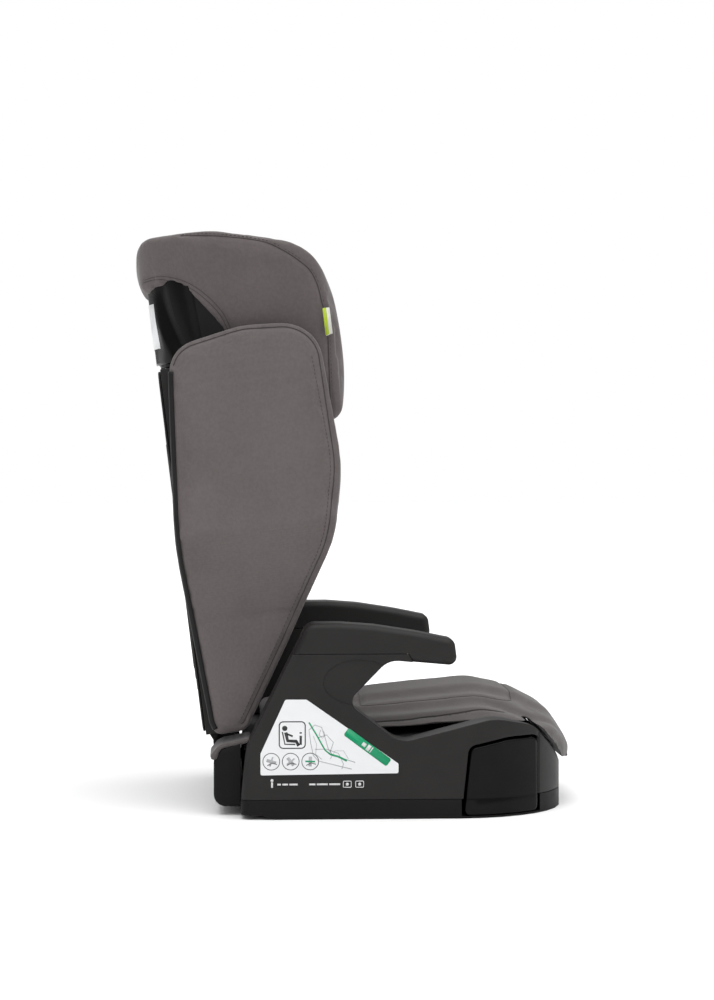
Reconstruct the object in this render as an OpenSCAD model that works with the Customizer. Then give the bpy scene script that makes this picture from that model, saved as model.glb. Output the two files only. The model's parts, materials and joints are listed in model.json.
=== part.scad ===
// High-back booster seat on a moulded base.
// +Z is up, the child faces -Y and the child's right side is -X.
// The origin is the centre of the base's underside. Sizes are in millimetres.

/* [Base] */
// Overall width over the armrests
seat_w = 444; // [370:1:540]
// Distance from the origin to the front of the base
front_d = 204; // [185:1:245]
// Distance from the origin to the back edge of the side panels
rear_d = 172; // [160:1:190]
// Plan radius of the front corners
corner_r = 130; // [100:1:150]
// Wall of the moulded parts
wall = 3; // [2:0.5:4]
// Floor of the lower tray
floor_t = 2.5; // [2:0.5:4]
// Height of the seam between tray and side panels
tray_h = 22; // [18:1:27]
// Depth of the hinge block behind the side panels
block_d = 31; // [29:1:38]
// How far each end of the hinge block stands in from the side panel
block_inset = 37; // [22:1:72]

/* [Armrests] */
// Width of an armrest
arm_w = 44; // [36:1:52]
// Height of the armrest's top
arm_top = 222; // [200:1:260]
// Reach of the armrest's tip in front of the origin
arm_reach = 74; // [50:1:90]
// Depth of the cap that closes the armrest
cap_h = 35; // [30:1:38]

/* [Seat] */
// Height of the seat pan at its rear edge
pan_rear_z = 76; // [70:1:80]
// Height of the seat pan over the cup holders
pan_front_z = 97; // [94:1:110]
// Thickness of the foam slab on the pan
foam_t = 8; // [5:1:12]
// Thickness of the cushion at its crown
cushion_t = 32; // [22:1:40]
// Thickness of the cushion along its side edges
cushion_edge_t = 7; // [5:1:12]
// How far the front lip of the cushion stands in front of the base
lip_d = 18; // [12:1:22]

/* [Cup holder] */
// Length of the drawer's face
cup_len = 84; // [76:1:95]
// Height of the drawer
cup_h = 85; // [70:1:86]
// Depth of the drawer into the base
cup_depth = 100; // [90:1:110]
// Hole for the cup
cup_hole_d = 66; // [55:1:68]

/* [Backrest] */
// Lean of the backrest at rest
back_tilt = 7; // [0:1:12]
// Height of the recline hinge
hinge_z = 75; // [70:1:80]
// Diameter of the hinge rod
rod_d = 8; // [6:0.5:10]
// Depth of the back shell
shell_d = 20; // [18:1:26]
// Height of the back shell above the hinge
shell_h = 440; // [420:1:520]
// Thickness of the back pad
pad_t = 38; // [25:1:45]
// Thickness of a wing beside the headrest
wing_t = 36; // [25:1:45]
// Thickness of a wing between the armrests
wing_low_t = 23; // [20:1:30]
// Height of a wing above the hinge
wing_h = 476; // [440:1:540]
// Reach of a wing in front of the hinge
wing_reach = 173; // [150:1:190]

/* [Headrest] */
// Width of the headrest
head_w = 344; // [300:1:400]
// Height of the headrest
head_h = 235; // [215:1:260]
// Reach of the headrest in front of the hinge
head_reach = 192; // [180:1:205]
// Clear width between the head wings
head_gap = 200; // [170:1:220]
// Width of the sliding carriage
carriage_w = 73; // [60:1:80]
// Distance between two height settings
rack_pitch = 20; // [15:1:20]
// Travel of the release handle
pull_travel = 8; // [6:1:8]

/* [Clearances] */
// Gap between two pieces fixed to each other
seam = 0.3; // [0.1:0.1:0.5]
// Gap around a sliding piece
slide_gap = 0.6; // [0.4:0.1:1]
// Gap around the cup holder's face
face_gap = 3; // [2:0.5:4]
// Gap between the backrest and the armrests
wing_gap = 5; // [4:1:8]
// Gap between the headrest and the wings
head_side_gap = 5; // [4:1:8]
// Radial clearance of the hinge rod and the screws
pin_gap = 0.05; // [0.02:0.01:0.1]

/* [Hidden] */
$fn = 48;

plastic = "#302d2b";
tray_black = "#242222";
gloss_black = "#191919";
fabric = "#645f5e";
foam_grey = "#a9a7a3";
steel = "#9da0a3";

half = seat_w / 2;
inner = half - arm_w;
pan_half = inner - 2;
block_w = seat_w - 2 * block_inset;
far = seat_w + front_d;          // longer than any cut needs
hinge_y = rear_d + 18;
rear_y = rear_d + block_d;
arc_step = 12;                   // degrees per facet of a rounded outline

// Backrest, in its own frame: v runs to the rear and w up along the lean.
wing_low_out = inner - wing_gap;
back_half = wing_low_out - wing_low_t;
head_half = head_w / 2;
wing_in = head_half + head_side_gap;
wing_out = wing_in + wing_t;
cover_t = 3;
skin_t = 2.5;
lug_r = 14;
lug_half = 98;
shell_w0 = 16;
panel_t = 3;
channel_half = carriage_w / 2 + 7.5;
rack_t = 5.6;
carriage_v = [7, 16];
cam_v = [carriage_v[1] + seam, carriage_v[1] + seam + 2];
carriage_w0 = 200;
bolt_w = 255.5;
bolt_h = 9;
bolt_pin_x = 18;
bolt_travel = pull_travel * 0.75;
settings = 9;
screw_r = 1.5;
head_w1 = 357 + head_h;          // top of the headrest
head_w0 = 357;                   // bottom of the headrest
shell_rear = shell_d + 4;        // rear face of the head shell
handle_w = head_w0 + 117;        // centre of the release grip

// Cup holder, seen from the side
cup_front = -front_d + 35;
cup_back = cup_front + cup_len;
cup_z = floor_t + 0.7;
cup_top = cup_z + cup_h;
cup_x = -half + cup_depth;

// ---------- outlines ----------

function xy(p) = [p[0], p[1]];
function unit(p) = p / norm(p);
function wrap(a) = a - 360 * floor((a + 180) / 360);

// The arc, or the sharp point, that a corner [x, y, radius] becomes
function corner(a, b, c) =
    let (
        u = unit(a - xy(b)),
        w = unit(c - xy(b)),
        half_angle = acos(u * w) / 2,
        reach = min(b[2] / tan(half_angle), 0.48 * norm(a - xy(b)), 0.48 * norm(c - xy(b))),
        r = reach * tan(half_angle)
    )
    r < 0.01 ? [xy(b)] :
    let (
        o = xy(b) + unit(u + w) * r / sin(half_angle),
        start = xy(b) + u * reach - o,
        finish = xy(b) + w * reach - o,
        a0 = atan2(start[1], start[0]),
        sweep = wrap(atan2(finish[1], finish[0]) - a0),
        n = max(1, ceil(abs(sweep) / arc_step))
    )
    [for (i = [0:n]) o + r * [cos(a0 + sweep * i / n), sin(a0 + sweep * i / n)]];

// A closed outline through corners [x, y, radius]
function rounded(c) =
    let (n = len(c))
    [for (i = [0:n - 1]) each corner(xy(c[(i + n - 1) % n]), c[i], xy(c[(i + 1) % n]))];

function area(p, i = 0) =
    i == len(p) ? 0 :
    let (a = p[i], b = p[(i + 1) % len(p)])
    (a[0] * b[1] - b[0] * a[1]) / 2 + area(p, i + 1);

// The same outline moved inwards by d, or outwards where d is negative
function inset(p, d) =
    let (n = len(p), s = sign(area(p)) * d)
    [for (i = [0:n - 1])
        let (
            e = unit(p[i] - p[(i + n - 1) % n]),
            f = unit(p[(i + 1) % n] - p[i]),
            m = [-e[1] - f[1], e[0] + f[0]]
        )
        p[i] + m * s / (1 + e * f)];

// Base in plan
plan = rounded([
    [-half, rear_d, 12], [-half, -front_d, corner_r],
    [half, -front_d, corner_r], [half, rear_d, 12]
]);

// Side panel and armrest, seen from the side
side_outline = rounded([
    [rear_d, tray_h, 0],
    [rear_d - 6, tray_h + 60, 60],
    [rear_d - 66, arm_top - 19, 25],
    [rear_d - 74, arm_top, 18],
    [40, arm_top, 250],
    [-25, arm_top - 10, 150],
    [4 - arm_reach, arm_top - 19, 10],
    [-arm_reach, arm_top - 49, 9],
    [5, arm_top - 42, 25],
    [52, arm_top - 90, 12],
    [-8, 86, 30],
    [89 - front_d, 113, 60],
    [39 - front_d, 102, 40],
    [1 - front_d, 56, 40],
    [-front_d, tray_h, 0]
]);
cap_z = arm_top - cap_h;

// Everything of the armrest that belongs to its cap
cap_cut = [
    [rear_d, cap_z], [rear_d, arm_top + 1], [-arm_reach - 1, arm_top + 1],
    [-arm_reach - 1, arm_top - 60], [-30, arm_top - 60], [-18, cap_z]
];

drawer_outline = rounded([
    [cup_back + 4, cup_z, 6], [cup_back - 4, cup_top - 9, 8], [cup_back - 49, cup_top, 60],
    [cup_front, cup_top, 8], [cup_front, cup_z, 6]
]);

// Top of the seat pan, from the rear edge to the front
pan_line = [
    [rear_d - seam, pan_rear_z], [104 - front_d, pan_front_z - 1], [44 - front_d, pan_front_z],
    [14 - front_d, 76], [wall + 2 - front_d, 52]
];

block_outline = rounded([
    [rear_d + seam, 10, 0], [rear_y, 10, 14], [rear_y, hinge_z - 13, 8],
    [rear_y - 7, hinge_z + 1, 12], [rear_d + seam, hinge_z + 9, 0]
]);

wing_outline = rounded([
    [12, 16, 12], [27, 240, 400], [8, wing_h - 15, 38], [-78, wing_h + 2, 90],
    [10 - wing_reach, wing_h - 4, 72], [-wing_reach, 310, 150], [20 - wing_reach, 222, 130],
    [-88, 112, 200], [-29, 18, 14]
]);

// Wing seen from the front, right half: narrow between the armrests, wider above them
function wing_front(out, in) = [
    [-wing_low_out + out, 0], [-wing_low_out + out, arm_top - 76], [-wing_out + out, arm_top + 25],
    [-wing_out + out, 400], [-wing_out + out + 7, wing_h + 10],
    [-wing_in - in, wing_h + 10], [-wing_in - in, 350], [-back_half - in, 300], [-back_half - in, 0]
];

head_outline = rounded([
    [33, head_w1 - 64, 5], [38, head_w1, 30], [-60, head_w1 - 1, 150],
    [16 - head_reach, head_w1 - 32, 60], [-head_reach, head_w0 + 100, 150],
    [8 - head_reach, head_w0, 20], [-104, head_w0, 30], [-50, head_w0 + 121, 60],
    [-5, head_w1 - 51, 40]
]);
shell_outline = rounded([
    [shell_rear, head_w0 + 85, 10], [shell_rear, head_w1 - 14, 25], [-60, head_w1 - 10, 120],
    [26 - head_reach, head_w1 - 40, 50], [10 - head_reach, head_w0 + 100, 120],
    [18 - head_reach, head_w0 + 10, 12], [-100, head_w0 + 10, 30], [-60, head_w0 + 85, 30]
]);
foam_outline = rounded([
    [5, head_w0 + 92, 10], [5, head_w1 - 18, 25], [-60, head_w1 - 14, 120],
    [30 - head_reach, head_w1 - 44, 50], [14 - head_reach, head_w0 + 100, 120],
    [22 - head_reach, head_w0 + 16, 12], [-96, head_w0 + 16, 30], [-50, head_w0 + 92, 30]
]);
pad_outline = rounded([
    [-40, head_w0 + 2, 8], [-40, head_w1 - 8, 8], [-70, head_w1 - 8, 60],
    [22 - head_reach, head_w1 - 40, 60], [8 - head_reach, head_w0 + 100, 150],
    [16 - head_reach, head_w0 + 2, 20]
]);

// A U in plan, open to the front, from its outer and inner half widths and ends
function u_plan(out, rear, r_out, in, back, r_in, front) = rounded([
    [-out, front, 24], [-out, rear, r_out], [out, rear, r_out], [out, front, 24],
    [in, front, 24], [in, back, r_in], [-in, back, r_in], [-in, front, 24]
]);
pad_half = head_gap / 2;
head_u = u_plan(head_half, 38, 70, pad_half + 12, -42, 50, -head_reach);

// ---------- placing ----------

// A drawing in (Y, Z) given a width along X
module side(p, x0, x1)
    translate([x0, 0, 0]) rotate([90, 0, 90]) linear_extrude(x1 - x0) polygon(p);

// A drawing in (X, Y) given a height
module level(p, z0, z1)
    translate([0, 0, z0]) linear_extrude(z1 - z0) polygon(p);

// A drawing in (X, Z) given a depth along Y
module facing(p, y0, y1)
    translate([0, y1, 0]) rotate([90, 0, 0]) linear_extrude(y1 - y0) polygon(p);

module box(x, y, z)
    translate([x[0], y[0], z[0]]) cube([x[1] - x[0], y[1] - y[0], z[1] - z[0]]);

module on_back()
    translate([0, hinge_y, hinge_z]) rotate([-back_tilt, 0, 0]) children();

module other_side()
    mirror([1, 0, 0]) children();

module rod_along_x(r, x0, x1)
    translate([x0, 0, 0]) rotate([0, 90, 0]) cylinder(r = r, h = x1 - x0);

module rod_along_y(r, y0, y1)
    translate([0, y0, 0]) rotate([-90, 0, 0]) cylinder(r = r, h = y1 - y0);

// ---------- base ----------

boss_r = 7;
boss_x = 62;
boss_y = [50 - front_d, 0, rear_d - 36];
screw_head_r = 4;
screw_head_h = 1.3;
foot_x = half - 74;
foot_y = [rear_d - 50, 92 - front_d];
foot_t = 1.5;

module foot_shape(grow) {
    for (x = [-foot_x, foot_x])
        for (y = foot_y)
            translate([x, y, 0])
                linear_extrude(foot_t + grow)
                    polygon(rounded([for (c = [[-1, -1], [1, -1], [1, 1], [-1, 1]])
                        [c[0] * (24 + grow), c[1] * (11 + grow), 8]]));
}

module tray_solid() {
    intersection() {
        level(plan, 0, tray_h);
        side([[rear_d, tray_h], [rear_d, 5], [rear_d - 20, 5], [rear_d - 40, 0],
              [-front_d, 0], [-front_d, tray_h]], -half, half);
    }
}

module base_tray() {
    color(tray_black)
        difference() {
            tray_solid();
            level(inset(plan, wall), 5 + floor_t, tray_h + 1);
            intersection() {
                level(inset(plan, wall), floor_t, tray_h);
                box([-far, far], [-far, rear_d - 44], [0, tray_h]);
            }
            // the drawers' chins stand in these notches
            for (s = [-1, 1])
                scale([s, 1, 1])
                    box([-far, -half + corner_r],
                        [cup_front - face_gap, cup_back + 4 + face_gap], [floor_t, tray_h + 1]);
            translate([0, 0, -seam]) foot_shape(seam);
            for (x = [-boss_x, boss_x])
                for (y = boss_y)
                    translate([x, y, -1]) {
                        cylinder(r = screw_r + pin_gap, h = 12);
                        cylinder(r = screw_head_r + seam, h = 1 + screw_head_h + seam);
                    }
        }
}

module foot_pads() {
    color("#3b3b3b") foot_shape(0);
}

module base_screws() {
    color(steel)
        for (x = [-boss_x, boss_x])
            for (y = boss_y)
                translate([x, y, seam]) {
                    cylinder(r = screw_head_r, h = screw_head_h);
                    cylinder(r = screw_r, h = 20);
                }
}

// Everything under the pan's top
module pan_block(drop) {
    intersection() {
        side(concat([for (p = pan_line) p - [0, drop]], [
            [wall + 2 - front_d, tray_h + 1], [rear_d - seam, tray_h + 1]
        ]), -pan_half, pan_half);
        level(inset(plan, wall + seam), 0, arm_top);
    }
}

module seat_pan() {
    rib_x = [-92, -30, 30, 92];
    color(tray_black)
        difference() {
            union() {
                difference() {
                    pan_block(0);
                    box([-far, far], [-far, far], [0, tray_h + 2]);
                    translate([0, 0, -wall]) pan_block(0);
                }
                intersection() {
                    pan_block(0.5);
                    for (x = rib_x)
                        box([x - 1.25, x + 1.25], [wall + 3 - front_d, rear_d - wall - 1],
                            [0, arm_top]);
                }
                intersection() {
                    pan_block(0.5);
                    for (x = [-boss_x, boss_x])
                        for (y = boss_y)
                            translate([x, y, 0]) cylinder(r = boss_r, h = arm_top);
                }
            }
            for (x = [-boss_x, boss_x])
                for (y = boss_y)
                    translate([x, y, 0]) cylinder(r = screw_r + pin_gap, h = 30);
        }
}

module hinge_block() {
    bore_r = rod_d / 2 + pin_gap;
    wide = block_w / 2;
    color(tray_black)
        difference() {
            side(block_outline, -wide, wide);
            for (s = [-1, 1])
                scale([s, 1, 1]) {
                    difference() {
                        side(inset(block_outline, wall), lug_half + 12, wide - wall);
                        box([0, far], [rear_d + 9, far], [hinge_z - 8, far]);
                    }
                    box([lug_half + 12, wide - wall], [rear_d, rear_d + 4],
                        [10 + wall, hinge_z]);
                }
            box([-lug_half - 2, lug_half + 2], [0, far], [hinge_z - lug_r - 3, far]);
            translate([0, hinge_y, hinge_z]) rod_along_x(bore_r, -lug_half - 10, lug_half + 10);
        }
}

module hinge_rod() {
    color(steel)
        translate([0, hinge_y, hinge_z]) rod_along_x(rod_d / 2, -lug_half - 9, lug_half + 9);
}

module side_panel() {
    difference() {
        intersection() {
            side(side_outline, -half, -inner);
            level(plan, tray_h + seam, arm_top);
        }
        intersection() {
            side(inset(side_outline, wall), -half + wall, -inner + 1);
            level(inset(plan, wall), tray_h, arm_top);
        }
        side(cap_cut, -half - 1, -inner + 1);
        side(inset(drawer_outline, -face_gap), -half - 1, -inner + 1);
        box([-half - 1, -inner + 1], [-far, cup_back], [0, cup_z + 10]);
        side(scallop, -half - 1, -half + scoop_d);
    }
}

// Shallow oval scoop in the arm's upright, open to the front
scoop_centre = [38, arm_top - 67];
scoop_size = [41, 26];
scoop_d = 1.4;
scallop = [for (a = [0:12:348])
    scoop_centre + [scoop_size[0] * cos(a), scoop_size[1] * sin(a)]];

module arm_cap() {
    difference() {
        intersection() {
            side(side_outline, -half, -inner);
            translate([0, 0, seam]) side(cap_cut, -half, -inner);
        }
        intersection() {
            side(inset(side_outline, wall), -half + wall, -inner - wall);
            box([-far, 0], [-arm_reach, far], [0, arm_top - wall]);
        }
    }
}

// Inner skin of the upright, below the cap
module arm_liner() {
    difference() {
        side(inset(side_outline, wall + seam), -inner - wall, -inner);
        side(inset(cap_cut, -seam), -half, 0);
        side(inset(drawer_outline, -face_gap), -half, 0);
        box([-half, 0], [-far, far], [0, 78]);
        box([-half, 0], [-far, cup_front + 8], [0, arm_top]);
    }
}

module front_panel() {
    color(plastic)
        intersection() {
            difference() {
                level(plan, tray_h + seam, arm_top);
                level(inset(plan, wall), 0, arm_top + 1);
            }
            side(side_outline, -inner + seam, inner - seam);
            box([-half, half], [-far, cup_front], [0, arm_top]);
        }
}

module label() {
    side(rounded([[rear_d - 50, arm_top - 86, 3], [rear_d - 74, arm_top - 86, 4],
        [-6, 63, 3], [-6, 52, 2], [rear_d - 22, 50.5, 2], [rear_d - 22, 75, 3]]),
        -half - 0.4, -half);
}

module cup_holder() {
    hole_x = -half + 57;
    hole_y = (cup_front + cup_back) / 2;
    deck_z = cup_top - 12;
    body = inset(drawer_outline, wall);
    difference() {
        intersection() {
            side(drawer_outline, -half, cup_x);
            level(plan, 0, arm_top);
        }
        intersection() {
            side(body, -half, cup_x - wall);
            level(inset(plan, wall), cup_z + wall, deck_z - wall);
        }
        intersection() {
            box([-half, cup_x - wall], [cup_front + wall, cup_back - wall],
                [deck_z, cup_top + 1]);
            level(inset(plan, wall), deck_z, cup_top + 1);
        }
        translate([hole_x, hole_y, deck_z - wall - 1]) cylinder(d = cup_hole_d, h = wall + 2);
    }
}

// Band round the drawer, clear of the tray's floor and of the pan above it
module cup_guide() {
    difference() {
        side(inset(drawer_outline, -2.6), cup_x - 22, cup_x + 24);
        side(inset(drawer_outline, -slide_gap), cup_x - 23, cup_x + 25);
        box([-half, 0], [-far, far], [-5, floor_t + seam]);
        side(concat([for (p = pan_line) p - [0, wall + seam]],
            [[-far, pan_front_z], [-far, arm_top], [rear_d, arm_top]]), -half, 0);
    }
}

// ---------- seat padding ----------

module seat_foam() {
    foam_half = pan_half - 14;
    color(foam_grey)
        intersection() {
            side(concat([for (p = [for (i = [0:2]) pan_line[i]]) p + [0, seam]], [
                [46 - front_d, pan_front_z + foam_t - 2], [104 - front_d, pan_front_z - 1 + foam_t],
                [rear_d - 18, pan_rear_z + 1 + foam_t], [rear_d - 14, pan_rear_z + 2]
            ]), -foam_half, foam_half);
            level(inset(plan, wall + 10), 0, arm_top);
        }
}

cushion_z = pan_front_z + foam_t + seam;
cushion_low = [
    [rear_d - 20, pan_rear_z + foam_t + 2.2], [104 - front_d, cushion_z - 1],
    [46 - front_d, cushion_z - 2], [30 - front_d, cushion_z - 7], [6 - front_d, 68],
    [-front_d - 2, 52]
];

// Plan of the cushion: its front corners are rounder than the base's
cushion_plan = rounded([
    [-half, rear_d, 12], [-half, -front_d - lip_d, corner_r + 30],
    [half, -front_d - lip_d, corner_r + 30], [half, rear_d, 12]
]);

module cushion_layer(top, wide) {
    side(concat(cushion_low, top), -wide, wide);
}

// Half widths of the crown's steps, each with its drop below the crown
crown_steps = [[58, 0], [108, 9], [pan_half - 28, 20]];

module seat_cushion() {
    crown_z = cushion_z + cushion_t;
    edge_z = cushion_z + cushion_edge_t;
    color(fabric)
        intersection() {
            union() {
                for (s = crown_steps)
                    cushion_layer([
                        [-front_d - lip_d, 49], [-front_d - lip_d, 66 - s[1] / 4],
                        [8 - front_d, 106 - s[1] / 2], [50 - front_d, crown_z - 10 - s[1]],
                        [98 - front_d, crown_z - s[1]], [-9, crown_z - 9 - s[1]],
                        [rear_d - 60, crown_z - 25 - s[1] * 0.5], [rear_d - 22, 109 - s[1] * 0.3]
                    ], s[0]);
                cushion_layer([
                    [4 - front_d - lip_d, 52], [4 - front_d - lip_d, 60], [12 - front_d, 94],
                    [50 - front_d, edge_z - 3], [98 - front_d, edge_z], [0, edge_z - 10],
                    [rear_d - 22, pan_rear_z + foam_t + cushion_edge_t + 4]
                ], pan_half - 6);
            }
            level(cushion_plan, 0, arm_top);
        }
}

module cover_hem() {
    color(fabric)
        for (s = [-1, 1])
            scale([s, 1, 1])
                intersection() {
                    difference() {
                        side(inset(block_outline, -3.6), lug_half + 12, block_w / 2);
                        side(inset(block_outline, -seam), 0, block_w);
                    }
                    box([0, far], [rear_d + 1, far], [hinge_z - 9, far]);
                }
}

// ---------- backrest ----------

rib_w = [shell_w0 + wall, 130, 235, 335, shell_h - wall];
back_screw_x = back_half - 22;
back_screw_w = [40, 225, shell_h - 30];

module at_back_screws() {
    for (x = [-back_screw_x, back_screw_x])
        for (w = back_screw_w)
            translate([x, 0, w]) children();
}

// The back seen from the front: it widens with the wings at the shoulders
back_outline = [for (s = [-1, 1])
    each [for (i = s < 0 ? [0:3] : [3:-1:0])
        [[s * back_half, shell_w0], [s * back_half, 300], [s * (wing_in - seam), 350],
            [s * (wing_in - seam), shell_h]][i]]];

module back_shell() {
    rim = wall;
    color(plastic)
        on_back()
            difference() {
                union() {
                    difference() {
                        facing(back_outline, 0, shell_d);
                        // pockets between the ribs, open to the rear
                        for (s = [-1, 1])
                            for (i = [0:len(rib_w) - 2])
                                intersection() {
                                    facing(inset(back_outline, rim), wall, shell_d + 1);
                                    scale([s, 1, 1])
                                        box([channel_half + rim, far],
                                            [0, far], [rib_w[i], rib_w[i + 1] - rim]);
                                }
                        box([-channel_half, channel_half], [wall, shell_d + 1],
                            [carriage_w0 - 14, shell_h + 1]);
                    }
                    at_back_screws() rod_along_y(5, wall - 1, shell_d);
                    rod_along_x(lug_r, -lug_half, lug_half);
                    side([[-11, 5], [0, shell_w0 + 1], [shell_d, shell_w0 + 1], [13, 2]],
                        -lug_half, lug_half);
                }
                rod_along_x(rod_d / 2 + pin_gap, -lug_half - 1, lug_half + 1);
                at_back_screws() rod_along_y(screw_r + pin_gap, wall + 1, shell_d + 1);
            }
}

module back_cover() {
    color(plastic)
        on_back()
            difference() {
                facing(inset(rounded([for (p = back_outline) [p[0], p[1], 24]]), 2),
                    shell_d + seam, shell_d + seam + panel_t);
                at_back_screws() {
                    rod_along_y(screw_r + pin_gap, shell_d, shell_d + 9);
                    rod_along_y(screw_head_r + seam, shell_d + 2, shell_d + 9);
                }
            }
}

module back_screws() {
    color(steel)
        on_back()
            at_back_screws() {
                rod_along_y(screw_r, shell_d - 12, shell_d + 2.5);
                rod_along_y(screw_head_r, shell_d + 2 + 0.1, shell_d + 3.2);
            }
}

module rack() {
    teeth = channel_half - seam - rack_t;
    difference() {
        box([-channel_half + seam, -teeth], [wall + 4, shell_d - 3],
            [bolt_w - 14, bolt_w + rack_pitch * (settings - 1) + 16]);
        for (i = [0:settings - 1])
            box([-teeth - 3.5, -teeth + 1], [0, shell_d],
                [bolt_w + rack_pitch * i - bolt_h / 2 - 1, bolt_w + rack_pitch * i + bolt_h / 2 + 1]);
    }
}

// The wing's solid, moved in from its outside by skin and from its inner face by lining
module wing_solid(skin, lining) {
    on_back()
        intersection() {
            side(inset(wing_outline, skin), -wing_out, 0);
            facing(wing_front(skin, lining), -wing_reach - 1, 40);
        }
}

module wing_cover() {
    difference() {
        wing_solid(0, 0);
        wing_solid(cover_t, -1);
    }
}

module wing_shell() {
    difference() {
        wing_solid(cover_t + seam, 14);
        wing_solid(cover_t + seam + skin_t, 13);
    }
}

module wing_foam() {
    wing_solid(cover_t + 2 * seam + skin_t, 6 + seam);
}

module wing_pad() {
    difference() {
        wing_solid(cover_t + seam, 0.2);
        wing_solid(-1, 6);
    }
}

module back_pad() {
    top = 350;
    color(fabric)
        on_back()
            intersection() {
                side(rounded([[-seam, 22, 4], [-seam, shell_h - 2, 1], [-6, shell_h - 2, 2],
                    [-6, top + 30, 4], [6 - pad_t, top, 20], [-pad_t, 150, 200],
                    [-pad_t, 24, 16]]), -back_half + seam, back_half - seam);
                facing(inset(back_outline, seam), -pad_t - 1, 1);
            }
}

// ---------- headrest ----------

module head_carriage() {
    w = carriage_w / 2;
    grip = handle_w;
    color(plastic)
        on_back()
            difference() {
                union() {
                    box([-w, w], carriage_v, [carriage_w0, head_w1 - 72]);
                    box([-30, 30], [carriage_v[1] - 1, shell_rear - wall], [grip + 32, grip + 42]);
                }
                // finger room in front of the grip
                box([-far, far], [carriage_v[0] + 2.5, shell_d], [grip - 26, grip + 18]);
                // slot that the latch bolts slide in
                box([-far, -6], [carriage_v[0] + 2, shell_d],
                    [bolt_w - bolt_h / 2 - seam, bolt_w + bolt_h / 2 + seam]);
                box([6, far], [carriage_v[0] + 2, shell_d],
                    [bolt_w - bolt_h / 2 - seam, bolt_w + bolt_h / 2 + seam]);
                for (x = [-20, 20])
                    translate([x, 0, grip + 37])
                        rod_along_y(screw_r + pin_gap, carriage_v[0] + 4, shell_rear);
                // groove for the return spring
                box([-14, -7], [carriage_v[0] + 2, shell_d], [bolt_w + 20, bolt_w + 62]);
            }
}

// The rectangle with round rear corners that the head shell is bent around
function shell_plan(out, rear, front, r) =
    rounded([[-out, front, 0], [-out, rear, r], [out, rear, r], [out, front, 0]]);

module head_shell() {
    out = head_half - 10;
    color(gloss_black)
        on_back()
            difference() {
                intersection() {
                    side(shell_outline, -out, out);
                    level(shell_plan(out, shell_rear, -head_reach, 60), head_w0, head_w1);
                }
                level(shell_plan(out - wall, shell_rear - wall, -head_reach - 1, 60 - wall),
                    head_w0 - 1, head_w1 + 1);
                box([-46, 46], [0, far], [handle_w - 40, handle_w + 18]);
                for (x = [-20, 20])
                    translate([x, 0, handle_w + 37]) rod_along_y(screw_r + pin_gap, 0, far);
            }
}

module head_foam() {
    out = head_half - 10 - wall - seam;
    color(foam_grey)
        on_back()
            intersection() {
                side(foam_outline, -out, out);
                level(u_plan(out, 5, 45, pad_half + 16, -38, 46, 6 - head_reach),
                    head_w0, head_w1);
            }
}

module head_cover() {
    color(fabric)
        on_back()
            intersection() {
                side(head_outline, -head_half, head_half);
                difference() {
                    level(head_u, head_w0 - 1, head_w1 + 1);
                    level(inset(head_u, 4), head_w0 - 2, head_w1 + 2);
                }
            }
}

module head_pad() {
    thick = 12 - seam;
    color(fabric)
        on_back()
            intersection() {
                side(pad_outline, -pad_half - thick, pad_half + thick);
                difference() {
                    level(shell_plan(pad_half + thick, -42 - seam, 6 - head_reach, 50),
                        head_w0 - 1, head_w1 + 1);
                    level(shell_plan(pad_half, -54, -head_reach - 1, 38),
                        head_w0 - 2, head_w1 + 2);
                }
            }
}

module belt_guide() {
    x = -pad_half - 35;
    low = head_w0 - 38;
    // a C open to the front, so that the belt can be slipped in
    on_back()
        difference() {
            side(rounded([[-62, head_w0 + 14, 3], [-62, low, 12], [-132, low, 12],
                [-132, head_w0 + 14, 3]]), x, x + 5);
            side(rounded([[-74, low + 10, 5], [-74, low + 26, 5], [-118, low + 26, 5],
                [-118, low + 21, 2], [-140, low + 21, 1], [-140, low + 15, 1],
                [-118, low + 15, 2], [-118, low + 10, 3]]), x - 1, x + 6);
        }
}

module side_tag() {
    color("#b9cc2f")
        on_back()
            side(rounded([[12 - head_reach, head_w0 + 97, 1], [20 - head_reach, head_w0 + 97, 1],
                [20 - head_reach, head_w0 + 131, 1], [12 - head_reach, head_w0 + 131, 1]]),
                -head_half - 1.5, -head_half);
}

module approval_label() {
    color("white")
        on_back()
            facing(rounded([[-96, handle_w - 9, 2], [-56, handle_w - 9, 2],
                [-56, handle_w + 43, 2], [-96, handle_w + 43, 2]]), shell_rear, shell_rear + 0.4);
}

module head_screws() {
    color(steel)
        on_back()
            for (x = [-20, 20])
                translate([x, 0, handle_w + 37]) {
                    rod_along_y(screw_r, carriage_v[0] + 5, shell_rear + 0.1);
                    rod_along_y(screw_head_r, shell_rear, shell_rear + 1.4);
                }
}

module release_handle() {
    color("#4a4745")
        on_back() {
            // the grip bar, and the neck that joins it to the cam plate
            facing(rounded([[-42, handle_w - 6, 5], [42, handle_w - 6, 5],
                [42, handle_w + 6, 5], [-42, handle_w + 6, 5]]), cam_v[1], shell_rear - 1);
            box([-9, 9], [cam_v[1], cam_v[1] + 2], [handle_w - 30, handle_w]);
        }
}

// Diagonal slots draw both bolts in as the plate is pulled up
module cam_plate() {
    pin_r = 1.5 + 0.1;
    color(steel)
        on_back()
            difference() {
                union() {
                    box([-24, 24], cam_v, [bolt_w - 16, bolt_w + 9]);
                    box([-6, 6], cam_v, [bolt_w, handle_w + 5]);
                }
                for (s = [-1, 1])
                    scale([s, 1, 1])
                        for (t = [0, 1])
                            translate([bolt_pin_x - t * bolt_travel, 0, bolt_w - t * pull_travel])
                                rod_along_y(pin_r, 0, shell_d);
                for (s = [-1, 1])
                    scale([s, 1, 1])
                        facing(slot_sides(pin_r), 0, shell_d);
            }
}

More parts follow.
